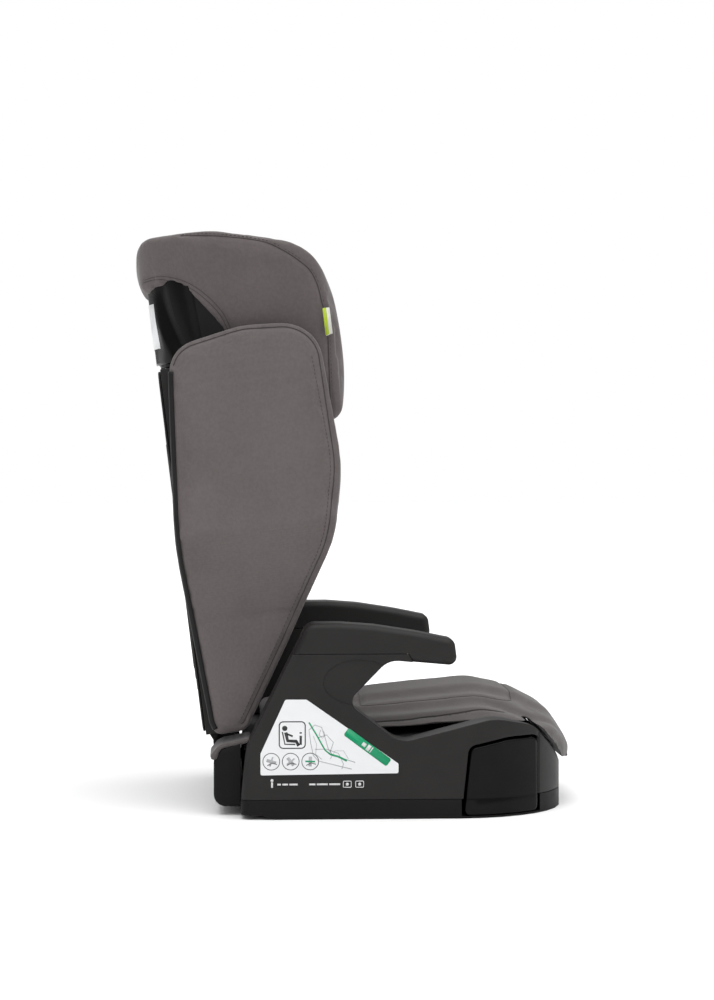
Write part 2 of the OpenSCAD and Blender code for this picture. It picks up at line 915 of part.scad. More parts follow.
// The straight part of a cam slot, between its two round ends
function slot_sides(r) =
    let (
        a = [bolt_pin_x, bolt_w],
        b = [bolt_pin_x - bolt_travel, bolt_w - pull_travel],
        n = unit([b[1] - a[1], a[0] - b[0]]) * r
    )
    [a + n, a - n, b - n, b + n];

module latch_bolt() {
    tip = channel_half - seam - rack_t - 0.5;
    color(steel)
        on_back() {
            box([-tip, -bolt_pin_x + 4], [carriage_v[0] + 2 + seam, carriage_v[1] - seam],
                [bolt_w - bolt_h / 2, bolt_w + bolt_h / 2]);
            translate([-bolt_pin_x, 0, bolt_w])
                rod_along_y(1.5, carriage_v[1] - seam - 1, cam_v[1]);
        }
}

module return_spring() {
    color(steel)
        on_back()
            translate([-10.5, (carriage_v[0] + carriage_v[1]) / 2 + 1, bolt_w + 22])
                difference() {
                    cylinder(r = 3, h = 38);
                    translate([0, 0, -1]) cylinder(r = 2.2, h = 40);
                }
}

// ---------- right and left pieces ----------

module side_panel_right() color(plastic) side_panel();
module side_panel_left() color(plastic) other_side() side_panel();
module arm_cap_right() color(plastic) arm_cap();
module arm_cap_left() color(plastic) other_side() arm_cap();
module arm_liner_right() color(plastic) arm_liner();
module arm_liner_left() color(plastic) other_side() arm_liner();
module cup_guide_right() color(tray_black) cup_guide();
module cup_guide_left() color(tray_black) other_side() cup_guide();
module cup_holder_right() color(gloss_black) cup_holder();
module cup_holder_left() color(gloss_black) other_side() cup_holder();
module label_right() color("white") label();
module label_left() color("white") other_side() label();
module rack_right() color(tray_black) on_back() rack();
module rack_left() color(tray_black) other_side() on_back() rack();
module wing_shell_right() color(plastic) wing_shell();
module wing_shell_left() color(plastic) other_side() wing_shell();
module wing_foam_right() color(foam_grey) wing_foam();
module wing_foam_left() color(foam_grey) other_side() wing_foam();
module wing_cover_right() color(fabric) wing_cover();
module wing_cover_left() color(fabric) other_side() wing_cover();
module wing_pad_right() color(fabric) wing_pad();
module wing_pad_left() color(fabric) other_side() wing_pad();
module belt_guide_right() color("#8c2b2b") belt_guide();
module belt_guide_left() color("#8c2b2b") other_side() belt_guide();
module latch_bolt_right() latch_bolt();
module latch_bolt_left() other_side() latch_bolt();

base_tray();
seat_pan();
hinge_block();
front_panel();
side_panel_right();
side_panel_left();
arm_cap_right();
arm_cap_left();
arm_liner_right();
arm_liner_left();
cup_guide_right();
cup_guide_left();
cup_holder_right();
cup_holder_left();
seat_foam();
seat_cushion();
cover_hem();
hinge_rod();
base_screws();
foot_pads();
label_right();
label_left();
back_shell();
back_cover();
rack_right();
rack_left();
back_screws();
wing_shell_right();
wing_shell_left();
wing_foam_right();
wing_foam_left();
wing_cover_right();
wing_cover_left();
wing_pad_right();
wing_pad_left();
back_pad();
head_carriage();
head_shell();
head_foam();
head_cover();
head_pad();
belt_guide_right();
belt_guide_left();
side_tag();
approval_label();
head_screws();
release_handle();
cam_plate();
return_spring();
latch_bolt_right();
latch_bolt_left();
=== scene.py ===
"""Looks of a high-back booster seat: covers, padding, mouldings, stickers and stage."""

import json
import math

import bmesh
import bpy
from mathutils import Matrix, Vector
from mathutils.bvhtree import BVHTree
from mathutils.kdtree import KDTree


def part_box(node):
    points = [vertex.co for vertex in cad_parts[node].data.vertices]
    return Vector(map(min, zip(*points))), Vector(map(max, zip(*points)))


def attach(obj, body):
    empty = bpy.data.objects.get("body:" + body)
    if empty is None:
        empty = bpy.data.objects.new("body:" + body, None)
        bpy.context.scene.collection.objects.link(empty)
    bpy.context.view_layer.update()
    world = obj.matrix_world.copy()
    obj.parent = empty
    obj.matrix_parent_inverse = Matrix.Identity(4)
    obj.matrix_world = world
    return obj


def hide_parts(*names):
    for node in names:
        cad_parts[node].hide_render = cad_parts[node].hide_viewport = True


bl_info = {
    "name": "High-back booster seat",
    "version": (1, 0, 0),
    "blender": (4, 5, 0),
    "location": "View3D > Sidebar > Booster seat",
    "description": "Covers, padding, mouldings and stickers of a high-back booster seat",
    "category": "Add Mesh",
}

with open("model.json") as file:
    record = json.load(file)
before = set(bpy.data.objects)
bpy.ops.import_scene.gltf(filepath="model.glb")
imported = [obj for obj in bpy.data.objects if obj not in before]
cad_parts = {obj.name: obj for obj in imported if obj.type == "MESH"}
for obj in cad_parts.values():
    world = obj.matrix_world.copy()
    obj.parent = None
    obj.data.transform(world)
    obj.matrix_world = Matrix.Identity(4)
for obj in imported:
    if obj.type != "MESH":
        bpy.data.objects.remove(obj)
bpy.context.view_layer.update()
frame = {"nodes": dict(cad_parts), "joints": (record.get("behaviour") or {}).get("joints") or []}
JOINTS = {joint["name"]: joint for joint in frame["joints"]}
HINGE = Vector(JOINTS["back_recline"]["pos_m"])
RISE = Vector(JOINTS["headrest_height"]["axis"]).normalized()
LEAN = math.atan2(RISE.y, RISE.z)
BACK = Matrix.Translation(HINGE) @ Matrix.Rotation(-LEAN, 4, "X")
FROM_BACK = BACK.inverted()
MM = 0.001
SIDES = {"right": 1, "left": -1}
OUT = Vector((1, 0, 0))
CAST = 0.6  # metres that a ray starts outside the part
CORNER_X = 92 * MM  # where the base's round front corners begin


# ---------- sizes and colours that a user may change ----------


class SeatSizes(bpy.types.PropertyGroup):
    """Sizes of the padding and the edges"""

    voxel: bpy.props.FloatProperty(
        name="Padding grid",
        description="Cell that padded pieces are remeshed at",
        default=0.005, min=0.003, max=0.008, unit="LENGTH",
    )
    pressure: bpy.props.FloatProperty(
        name="Padding pressure",
        description="Pressure that swells the covers over their foam",
        default=4.0, min=0.0, max=10.0,
    )
    outer_edge: bpy.props.FloatProperty(
        name="Outer edge",
        description="Radius of the mouldings' outer edges",
        default=0.0027, min=0.0005, max=0.003, unit="LENGTH",
    )
    arm_edge: bpy.props.FloatProperty(
        name="Armrest edge",
        description="Radius of the armrest's top edges",
        default=0.0084, min=0.002, max=0.0086, unit="LENGTH",
    )
    small_edge: bpy.props.FloatProperty(
        name="Small edge",
        description="Radius of all other moulded edges",
        default=0.0008, min=0.0002, max=0.0015, unit="LENGTH",
    )
    stitch: bpy.props.FloatProperty(
        name="Stitch length",
        description="Length of one stitch of the visible seams",
        default=0.0032, min=0.002, max=0.006, unit="LENGTH",
    )


class SeatColours(bpy.types.PropertyGroup):
    """Colours of the finishes"""

    cover: bpy.props.FloatVectorProperty(
        name="Cover", description="Fabric of the wings and the seat",
        default=(0.106, 0.091, 0.091), size=3, subtype="COLOR", min=0, max=1,
    )
    seat: bpy.props.FloatVectorProperty(
        name="Seat", description="Fabric of the seat cushion",
        default=(0.088, 0.079, 0.078), size=3, subtype="COLOR", min=0, max=1,
    )
    head: bpy.props.FloatVectorProperty(
        name="Headrest", description="Fabric of the headrest",
        default=(0.096, 0.081, 0.081), size=3, subtype="COLOR", min=0, max=1,
    )
    plastic: bpy.props.FloatVectorProperty(
        name="Mouldings", description="Plastic of the armrests and the back",
        default=(0.0135, 0.0125, 0.012), size=3, subtype="COLOR", min=0, max=1,
    )
    tray: bpy.props.FloatVectorProperty(
        name="Tray", description="Plastic of the lower tray",
        default=(0.0068, 0.0062, 0.0064), size=3, subtype="COLOR", min=0, max=1,
    )
    gloss: bpy.props.FloatVectorProperty(
        name="Gloss plastic", description="Plastic of the cup holders and the head shell",
        default=(0.0045, 0.0042, 0.0042), size=3, subtype="COLOR", min=0, max=1,
    )
    green: bpy.props.FloatVectorProperty(
        name="Belt green", description="Printed belt path",
        default=(0.0, 0.27, 0.115), size=3, subtype="COLOR", min=0, max=1,
    )


def sizes():
    return bpy.context.scene.seat_sizes


def colours():
    return bpy.context.scene.seat_colours


# ---------- shader values ----------


class Value:
    """A shader value that Python's arithmetic works on."""

    def __init__(self, finish, socket):
        self.finish = finish
        self.socket = socket

    def math(self, operation, *others):
        inputs = dict(enumerate((self,) + others))
        return self.finish.node("ShaderNodeMath", inputs, operation=operation)

    def __add__(self, other):
        return self.math("ADD", other)

    __radd__ = __add__

    def __mul__(self, other):
        return self.math("MULTIPLY", other)

    __rmul__ = __mul__

    def sine(self):
        return self.math("SINE")


class Finish:
    """A material and the nodes that make its look."""

    def __init__(self, name, **constants):
        self.material = bpy.data.materials.new(name)
        self.material.use_nodes = True
        self.tree = self.material.node_tree
        self.shader = self.tree.nodes["Principled BSDF"]
        for key, constant in constants.items():
            self.shader.inputs[key.replace("_", " ")].default_value = constant
        place = self.tree.nodes.new("ShaderNodeTexCoord")
        self.place = Value(self, place.outputs["Object"])

    def node(self, kind, inputs, out=0, **settings):
        node = self.tree.nodes.new(kind)
        for key, setting in settings.items():
            setattr(node, key, setting)
        for key, source in inputs.items():
            if isinstance(source, Value):
                self.tree.links.new(source.socket, node.inputs[key])
            else:
                node.inputs[key].default_value = source
        return Value(self, node.outputs[out])

    def noise(self, size, detail=2.0, roughness=0.5, stretch=None):
        """Noise whose features are about size metres wide."""
        place = self.place
        if stretch:
            place = self.node("ShaderNodeMapping", {"Vector": place, "Scale": stretch})
        return self.node("ShaderNodeTexNoise", {
            "Vector": place, "Scale": 1 / size, "Detail": detail, "Roughness": roughness,
        })

    def levels(self, value, low, high):
        """Value spread so that low becomes 0 and high becomes 1."""
        return self.node("ShaderNodeMapRange", {0: value, 1: low, 2: high})

    def blend(self, factor, first, second):
        return self.node("ShaderNodeMix", {0: factor, 6: first, 7: second}, out=2,
                         data_type="RGBA")

    def drive(self, socket, value):
        self.tree.links.new(value.socket, self.shader.inputs[socket])

    def relief(self, height, depth, strength=1.0):
        """Raises the surface by height times depth metres."""
        bump = self.node("ShaderNodeBump", {
            "Height": height, "Distance": depth, "Strength": strength,
        })
        self.drive("Normal", bump)


def shade(colour, factor):
    return (*[min(1.0, c * factor) for c in colour], 1.0)


def woven(name, colour, pitch=1.1 * MM):
    """Close plain-weave fabric with a soft nap and faint mottling."""
    look = Finish(name, Sheen_Weight=0.18, Sheen_Roughness=0.45, Specular_IOR_Level=0.25)
    parts = look.tree.nodes.new("ShaderNodeSeparateXYZ")
    look.tree.links.new(look.place.socket, parts.inputs[0])
    turns = 2 * math.pi / pitch
    threads = [(Value(look, s) * turns).sine() for s in parts.outputs]
    weave = (threads[0] + threads[1] + threads[2]) * 0.17 + 0.5
    fuzz = look.noise(0.5 * MM, 3)
    slubs = look.levels(look.noise(3.5 * MM, 3), 0.35, 0.65)
    cloud = look.levels(look.noise(60 * MM, 4), 0.3, 0.7)
    tone = weave * 0.22 + fuzz * 0.28 + slubs * 0.22 + cloud * 0.28
    look.drive("Base Color", look.blend(tone, shade(colour, 0.78), shade(colour, 1.22)))
    look.drive("Roughness", 0.78 + fuzz * 0.16)
    look.relief(weave * 0.55 + fuzz * 0.45 + slubs * 0.25, 0.30 * MM, 0.55)
    return look.material


def grained(name, colour, gloss=0.42, grain=0.9 * MM, depth=0.09 * MM, shine=0.22):
    """Moulded plastic with a fine leather-like grain and light handling marks."""
    look = Finish(name, Specular_IOR_Level=shine)
    cells = look.node("ShaderNodeTexVoronoi", {"Vector": look.place, "Scale": 1 / grain},
                      feature="SMOOTH_F1")
    fine = look.noise(grain * 0.6, 3)
    cloud = look.levels(look.noise(45 * MM, 4), 0.3, 0.7)
    scuffs = look.levels(look.noise(9 * MM, 5, 0.7, stretch=(1, 0.3, 1)), 0.56, 0.72)
    look.drive("Base Color", look.blend(cloud * 0.6 + scuffs * 0.4, shade(colour, 0.85),
                                        shade(colour, 1.25)))
    look.drive("Roughness", gloss + cloud * 0.07 + scuffs * 0.09 + fine * 0.08)
    look.relief(cells * 0.7 + fine * 0.3, depth, 0.5)
    return look.material


def polished(name, colour, gloss=0.12):
    """Glossy moulded plastic with faint flow waves and fine scratches."""
    look = Finish(name, Specular_IOR_Level=0.07, Coat_Roughness=0.1)
    waves = look.noise(35 * MM, 2)
    hairs = look.levels(look.noise(1.2 * MM, 4, 0.6, stretch=(1, 0.05, 1)), 0.55, 0.7)
    look.drive("Base Color", look.blend(waves, shade(colour, 0.8), shade(colour, 1.25)))
    look.drive("Roughness", gloss + hairs * 0.06 + waves * 0.05)
    look.drive("Coat Weight", 0.03 + waves * 0.05)
    look.relief(waves + hairs * 0.03, 0.5 * MM, 0.25)
    return look.material


def metal(name, colour=(0.55, 0.56, 0.57)):
    look = Finish(name)
    brushed = look.noise(0.7 * MM, 4, 0.6, stretch=(0.1, 1, 1))
    look.drive("Base Color", look.blend(brushed, shade(colour, 0.8), shade(colour, 1.1)))
    look.drive("Metallic", 0.94 + brushed * 0.06)
    look.drive("Roughness", 0.24 + brushed * 0.2)
    look.relief(brushed, 0.03 * MM, 0.4)
    return look.material


def film(name, colour, gloss=0.32):
    """Printed film: almost even colour, faintly wavy."""
    look = Finish(name, Specular_IOR_Level=0.4)
    grain = look.noise(0.35 * MM, 2)
    waves = look.noise(22 * MM, 2)
    look.drive("Base Color", look.blend(grain * 0.6 + waves * 0.4, shade(colour, 0.94),
                                        shade(colour, 1.04)))
    look.drive("Roughness", gloss + waves * 0.1)
    look.relief(waves, 0.25 * MM, 0.2)
    return look.material


FINISHES = {}


def finish(name):
    """The material of that name, made when it is first asked for."""
    if name not in FINISHES:
        paint = colours()
        makers = {
            "cover_weave": lambda: woven("cover_weave", paint.cover),
            "seat_weave": lambda: woven("seat_weave", paint.seat),
            "head_weave": lambda: woven("head_weave", paint.head),
            "lining_mesh": lambda: woven("lining_mesh", [c * 0.62 for c in paint.cover],
                                         pitch=1.8 * MM),
            "thread": lambda: woven("thread", [c * 0.42 for c in paint.cover],
                                    pitch=0.5 * MM),
            "moulding": lambda: grained("moulding", paint.plastic),
            "tray_moulding": lambda: grained("tray_moulding", paint.tray, gloss=0.46, shine=0.13),
            "gloss_moulding": lambda: polished("gloss_moulding", paint.gloss),
            "spine_moulding": lambda: grained("spine_moulding", paint.tray, gloss=0.5,
                                              grain=0.6 * MM),
            "grip_moulding": lambda: grained("grip_moulding", (0.07, 0.065, 0.062), gloss=0.5),
            "belt_red": lambda: grained("belt_red", (0.26, 0.018, 0.016), gloss=0.38),
            "steel": lambda: metal("steel"),
            "rubber": lambda: grained("rubber", (0.03, 0.03, 0.03), gloss=0.7,
                                      grain=1.6 * MM, depth=0.2 * MM),
            "label_film": lambda: film("label_film", (0.71, 0.72, 0.73)),
            "print_black": lambda: film("print_black", (0.018, 0.018, 0.02)),
            "print_grey": lambda: film("print_grey", (0.36, 0.37, 0.38)),
            "print_white": lambda: film("print_white", (0.62, 0.62, 0.62)),
            "print_green": lambda: film("print_green", paint.green),
            "tag_white": lambda: woven("tag_white", (0.66, 0.66, 0.60), pitch=0.6 * MM),
            "tag_green": lambda: woven("tag_green", (0.38, 0.50, 0.035), pitch=0.6 * MM),
        }
        FINISHES[name] = makers[name]()
    return FINISHES[name]


# ---------- outlines ----------


def corner(before, here, after, step):
    """Points of the arc that replaces a corner (x, y, radius), or the corner itself."""
    point = Vector(here[:2])
    u = (Vector(before[:2]) - point).normalized()
    w = (Vector(after[:2]) - point).normalized()
    half = math.acos(max(-1, min(1, u.dot(w)))) / 2
    reach = min(here[2] / math.tan(half), 0.48 * (Vector(before[:2]) - point).length,
                0.48 * (Vector(after[:2]) - point).length)
    radius = reach * math.tan(half)
    if radius < 0.01:
        return [point]
    centre = point + (u + w).normalized() * radius / math.sin(half)
    start, end = point + u * reach - centre, point + w * reach - centre
    first = math.atan2(start.y, start.x)
    sweep = (math.atan2(end.y, end.x) - first + math.pi) % (2 * math.pi) - math.pi
    count = max(1, math.ceil(abs(math.degrees(sweep)) / step))
    return [centre + radius * Vector((math.cos(first + sweep * i / count),
                                      math.sin(first + sweep * i / count)))
            for i in range(count + 1)]


def rounded(corners, step=6):
    """Closed outline, in millimetres, through corners (x, y, radius)."""
    count = len(corners)
    return [p for i in range(count)
            for p in corner(corners[i - 1], corners[i], corners[(i + 1) % count], step)]


def inset(points, distance):
    """The outline moved inwards by distance."""
    count = len(points)
    area = sum(points[i].cross(points[(i + 1) % count]) for i in range(count))
    moved = []
    for i, point in enumerate(points):
        e = (point - points[i - 1]).normalized()
        f = (points[(i + 1) % count] - point).normalized()
        m = Vector((-e.y - f.y, e.x + f.x))
        moved.append(point + m * math.copysign(distance, area) / (1 + e.dot(f)))
    return moved


def ease(t):
    """0 below 0, 1 above 1, smooth between."""
    t = max(0.0, min(1.0, t))
    return t * t * (3 - 2 * t)


def even(points, step, closed=False):
    """Points about step apart along a line of 2-D or 3-D points."""
    line = list(points) + ([points[0]] if closed else [])
    out, left = [line[0].copy()], step
    for a, b in zip(line, line[1:]):
        length = (b - a).length
        at = left
        while at <= length:
            out.append(a.lerp(b, at / length))
            at += step
        left = at - length
    return out


def smooth_line(points, step):
    """A smooth curve through 2-D points (Catmull-Rom), sampled every step."""
    p = [Vector(q) for q in points]
    p = [2 * p[0] - p[1]] + p + [2 * p[-1] - p[-2]]
    fine = []
    for i in range(1, len(p) - 2):
        a, b, c, d = p[i - 1:i + 3]
        for k in range(12):
            t = k / 12
            fine.append(0.5 * (2 * b + (c - a) * t + (2 * a - 5 * b + 4 * c - d) * t * t
                               + (3 * b - a - 3 * c + d) * t ** 3))
    return even(fine + [p[-2]], step)


WING = rounded([
    (12, 16, 12), (27, 240, 400), (8, 461, 38), (-78, 478, 90), (-163, 472, 72),
    (-173, 310, 150), (-153, 222, 130), (-88, 112, 200), (-29, 18, 14)])
HEAD = rounded([
    (33, 528, 5), (39, 592, 20), (-60, 591, 150), (-176, 560, 60), (-192, 457, 150),
    (-184, 357, 20), (-104, 357, 30), (-50, 478, 60), (-5, 541, 40)])
HEAD_PLAN = rounded([
    (-172, -192, 24), (-172, 38, 70), (172, 38, 70), (172, -192, 24),
    (112, -192, 24), (112, -42, 50), (-112, -42, 50), (-112, -192, 24)])


# ---------- meshes ----------


def prism(points, low, high, place):
    """Solid of an outline in millimetres; place turns (a, b, height) into a point."""
    bm = bmesh.new()
    face = bm.faces.new([bm.verts.new(place(p[0], p[1], low)) for p in points])
    grown = bmesh.ops.extrude_face_region(bm, geom=[face])["geom"]
    moved = [v for v in grown if isinstance(v, bmesh.types.BMVert)]
    bmesh.ops.translate(bm, verts=moved, vec=place(0, 0, high) - place(0, 0, low))
    bmesh.ops.recalc_face_normals(bm, faces=bm.faces)
    return bm


def base_side(y, z, x):
    return Vector((x, y, z)) * MM


def back_plan(x, v, w):
    return BACK @ (Vector((x, v, w)) * MM)


def back_side(v, w, x):
    return back_plan(x, v, w)


def back_front(x, w, v):
    return back_plan(x, v, w)


def cad_copy(*nodes):
    """The CAD nodes' solids as one clean mesh with whole faces."""
    bm = bmesh.new()
    for node in nodes:
        bm.from_mesh(frame["nodes"][node].data)
    bmesh.ops.remove_doubles(bm, verts=bm.verts, dist=0.01 * MM)
    bmesh.ops.dissolve_limit(bm, angle_limit=math.radians(0.5), verts=bm.verts,
                             edges=bm.edges, use_dissolve_boundaries=False)
    return bm


def mesh_of(name, bm):
    """The bmesh as a mesh; the bmesh is freed."""
    mesh = bpy.data.meshes.new(name)
    bm.to_mesh(mesh)
    bm.free()
    return mesh


def new_object(name, data):
    obj = bpy.data.objects.new(name, data)
    bpy.context.scene.collection.objects.link(obj)
    return obj


def temporary(bm):
    return new_object("temporary", mesh_of("temporary", bm))


def evaluated(obj):
    """The object's mesh after its modifiers, as a bmesh."""
    graph = bpy.context.evaluated_depsgraph_get()
    mesh = bpy.data.meshes.new_from_object(obj.evaluated_get(graph))
    bm = bmesh.new()
    bm.from_mesh(mesh)
    bpy.data.meshes.remove(mesh)
    return bm


def taken(obj, *others):
    """The evaluated mesh of a temporary object; the objects are removed."""
    bm = evaluated(obj)
    for o in (obj,) + others:
        data = o.data
        bpy.data.objects.remove(o)
        bpy.data.meshes.remove(data)
    return bm


def shared(first, second):
    """What two solids have in common."""
    a, b = temporary(first), temporary(second)
    cut = a.modifiers.new("cut", "BOOLEAN")
    cut.operation, cut.object, cut.solver = "INTERSECT", b, "EXACT"
    return taken(a, b)


def joined(*parts):
    """Several meshes as one, each a closed shell of its own."""
    whole = bmesh.new()
    for part in parts:
        mesh = mesh_of("part", part)
        whole.from_mesh(mesh)
        bpy.data.meshes.remove(mesh)
    return whole


def mirrored(bm):
    """A copy for the other side."""
    other = bm.copy()
    bmesh.ops.scale(other, verts=other.verts, vec=(-1, 1, 1))
    bmesh.ops.reverse_faces(other, faces=other.faces)
    return other


def weigh(bm, radius_of, largest):
    """Stores each edge's own radius as a share of the largest."""
    layer = bm.edges.layers.float.new("bevel_weight_edge")
    for edge in bm.edges:
        if len(edge.link_faces) == 2:
            turn = edge.calc_face_angle_signed(0)
            if turn > math.radians(28):
                edge[layer] = min(1.0, radius_of(edge) / largest)


def thickened(bm, outward, thickness):
    """Gives a sheet its thickness, with its outer face towards outward."""
    bmesh.ops.recalc_face_normals(bm, faces=bm.faces)
    if sum(f.normal.dot(outward) for f in bm.faces) < 0:
        bmesh.ops.reverse_faces(bm, faces=bm.faces)
    bmesh.ops.solidify(bm, geom=bm.faces[:], thickness=thickness)
    bmesh.ops.recalc_face_normals(bm, faces=bm.faces)


def middle(edge):
    return (edge.verts[0].co + edge.verts[1].co) / 2


def add_piece(name, bm, look, body, stands_for=(), bevel=0.0, segments=3):
    """Makes the finished object and gives it to its body."""
    mesh = mesh_of(name, bm)
    obj = new_object(name, mesh)
    mesh.materials.append(finish(look))
    mesh.polygons.foreach_set("use_smooth", [True] * len(mesh.polygons))
    if bevel:
        edge = obj.modifiers.new("edges", "BEVEL")
        edge.limit_method = "WEIGHT"
        edge.width = bevel
        edge.segments = segments
        edge.use_clamp_overlap = False
        edge.miter_outer = "MITER_ARC"
        shading = obj.modifiers.new("shading", "WEIGHTED_NORMAL")
        shading.keep_sharp = True
        shading.weight = 80
    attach(obj, body)
    if stands_for:
        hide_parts(*stands_for)
    return obj


def moulded(name, nodes, look, body, radius_of=None, largest=None, segments=3,
            shape=None):
    """A CAD moulding with its edges rounded."""
    bm = cad_copy(*nodes)
    if shape:
        shape(bm)
    largest = largest or sizes().small_edge
    radius_of = radius_of or (lambda edge: largest)
    weigh(bm, radius_of, largest)
    return add_piece(name, bm, look, body, nodes, largest, segments)


# ---------- padding ----------


def largest_shell(bm):
    """Keeps the biggest closed shell, without the hollows inside it."""
    left, best = set(bm.verts), set()
    while left:
        stack = [left.pop()]
        island = set(stack)
        while stack:
            near = {v for edge in stack.pop().link_edges for v in edge.verts} & left
            left -= near
            island |= near
            stack += near
        best = max(best, island, key=len)
    bmesh.ops.delete(bm, geom=[v for v in bm.verts if v not in best], context="VERTS")
    return bm


def back_box(*nodes):
    """Lowest and highest corner of CAD nodes in the back's own frame."""
    points = [FROM_BACK @ v.co for node in nodes for v in frame["nodes"][node].data.vertices]
    return [Vector([pick(p[i] for p in points) for i in range(3)]) for pick in (min, max)]


def fitted(bm, low, high):
    """Stretches a mesh to a side view's box, in the back's own frame."""
    bmesh.ops.transform(bm, matrix=FROM_BACK, verts=bm.verts)
    for axis in (1, 2):
        places = [v.co[axis] for v in bm.verts]
        first, span = min(places), max(places) - min(places)
        for v in bm.verts:
            share = (v.co[axis] - first) / span
            v.co[axis] = low[axis] + share * (high[axis] - low[axis])
    bmesh.ops.transform(bm, matrix=BACK, verts=bm.verts)
    return bm


def remeshed(bm, voxel, smooth):
    """One even skin over the solids, smoothed that many times."""
    obj = temporary(bm)
    grid = obj.modifiers.new("grid", "REMESH")
    grid.mode, grid.voxel_size = "VOXEL", voxel
    soft = obj.modifiers.new("soft", "SMOOTH")
    soft.factor, soft.iterations = 0.5, smooth
    return largest_shell(taken(obj))


def grown(bm, distance):
    """Every point moved out by distance(point, normal) or by one distance."""
    bm.normal_update()
    moves = [(v, v.normal * (distance(v.co, v.normal) if callable(distance) else distance))
             for v in bm.verts]
    for v, move in moves:
        v.co += move
    return bm


def swollen(bm, reach):
    """Cover blown out over its foam by a cloth run; no point moves further than reach."""
    frames = 20
    obj = temporary(bm)
    start = [v.co.copy() for v in obj.data.vertices]
    normals = [v.normal.copy() for v in obj.data.vertices]
    cloth = obj.modifiers.new("cloth", "CLOTH")
    cloth.settings.use_pressure = True
    cloth.settings.uniform_pressure_force = sizes().pressure
    cloth.settings.effector_weights.gravity = 0
    cloth.settings.quality = 4
    cloth.point_cache.frame_end = frames
    scene = bpy.context.scene
    for number in range(1, frames + 1):
        scene.frame_set(number)
    bm = taken(obj)
    scene.frame_set(1)
    for v, origin, normal in zip(bm.verts, start, normals):
        limit = reach(origin, normal) if callable(reach) else reach
        move = v.co - origin
        if move.length > limit:
            v.co = origin + move.normalized() * limit
    return bm


def subdivided(bm):
    obj = temporary(bm)
    sub = obj.modifiers.new("subdivision", "SUBSURF")
    sub.levels = sub.render_levels = 1
    return taken(obj)


def surface(bm):
    bm.normal_update()
    bm.faces.ensure_lookup_table()
    return BVHTree.FromBMesh(bm)


def laid_on(tree, points, direction, lift=0.0):
    """Points moved along direction onto the surface, with the normals there."""
    found = []
    for point in points:
        hit, normal, _, _ = tree.ray_cast(point - direction * CAST, direction)
        if hit is not None and (hit - point).length < CAST:
            found.append((hit + normal * lift, normal))
    return found


def laid_on_from(tree, points, direction):
    """Points moved along direction from where they are onto the next surface."""
    found = []
    for point in points:
        hit, normal, _, _ = tree.ray_cast(point, direction)
        if hit is not None:
            found.append((hit, normal))
    return found


def spots(line):
    """The points of a laid line, without its normals."""
    return [p for p, _ in line]


def nearest(points):
    """Search tree that finds the nearest of the points."""
    tree = KDTree(len(points))
    for i, p in enumerate(points):
        tree.insert(p, i)
    tree.balance()
    return tree


def draw_in(bm, lines, depth, width):
    """Pulls the surface in along seams, with a soft shoulder on both sides."""
    tree = nearest([p for line in lines for p in spots(line)])
    bm.normal_update()
    moves = []
    for v in bm.verts:
        near = tree.find(v.co)[2]
        if near < width:
            share = 0.5 + 0.5 * math.cos(math.pi * near / width)
            moves.append((v, v.normal * -depth * share ** 1.5))
    for v, move in moves:
        v.co += move


def tube(points, radius, closed=False, sides=6):
    """A round cord through 3-D points, with closed ends."""
    curve = bpy.data.curves.new("cord", "CURVE")
    curve.dimensions = "3D"
    curve.bevel_depth = radius
    curve.bevel_resolution = max(0, sides // 2 - 2)
    curve.use_fill_caps = not closed
    spline = curve.splines.new("POLY")
    spline.points.add(len(points) - 1)
    for slot_point, p in zip(spline.points, points):
        slot_point.co = (*p, 1)
    spline.use_cyclic_u = closed
    obj = new_object("cord", curve)
    bm = evaluated(obj)
    bpy.data.objects.remove(obj)
    bpy.data.curves.remove(curve)
    bmesh.ops.remove_doubles(bm, verts=bm.verts, dist=0.001 * MM)
    bmesh.ops.recalc_face_normals(bm, faces=bm.faces)
    return bm


def stitches(line, offset=0.0):
    """A row of stitches lying on a seam line of (point, normal) pairs."""
    bm = bmesh.new()
    length = sizes().stitch
    row = even(spots(line), length * 1.45)
    tree = nearest(spots(line))
    for a, b in zip(row, row[1:]):
        along = (b - a).normalized()
        normal = line[tree.find(a)[1]][1]
        across = normal.cross(along).normalized()
        normal = along.cross(across)
        turn = Matrix((along, across, normal)).transposed().to_4x4()
        turn.translation = (a + b) / 2 + across * offset + normal * 0.15 * MM
        size = Matrix.Diagonal((length / 2, 0.42 * MM, 0.34 * MM, 1))
        bmesh.ops.create_uvsphere(bm, u_segments=6, v_segments=4, radius=1,
                                  matrix=turn @ size @ Matrix.Rotation(math.pi / 2, 4, "Y"))
    return bm


# ---------- base ----------


class SEAT_OT_tray(bpy.types.Operator):
    """Lower tray, seat pan, hinge block, front wall and feet"""

    bl_idname = "seat.tray"
    bl_label = "Tray and hinge block"

    def execute(self, context):
        edge = sizes().outer_edge
        foot_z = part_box("base_tray")[0].z

        def tray_radius(e):
            return 1.0 * MM if middle(e).z < foot_z + 1 * MM else 0.7 * MM

        moulded("tray", ["base_tray"], "tray_moulding", "base",
                tray_radius, 1.0 * MM)
        moulded("pan", ["seat_pan"], "tray_moulding", "base")
        block_low, block_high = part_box("hinge_block")

        def block_radius(e):
            m = middle(e)
            outer = abs(abs(m.x) - block_high.x) < 0.2 * MM
            return 4 * MM if outer and m.y > block_low.y + 3 * MM else 0.6 * MM

        moulded("back_block", ["hinge_block"], "tray_moulding", "base",
                block_radius, 4 * MM, 4)
        moulded("front_wall", ["front_panel"], "moulding", "base",
                lambda e: edge if middle(e).z > 30 * MM else 0.6 * MM, edge)
        moulded("feet", ["foot_pads"], "rubber", "base", None, 0.5 * MM, 2)
        return {"FINISHED"}


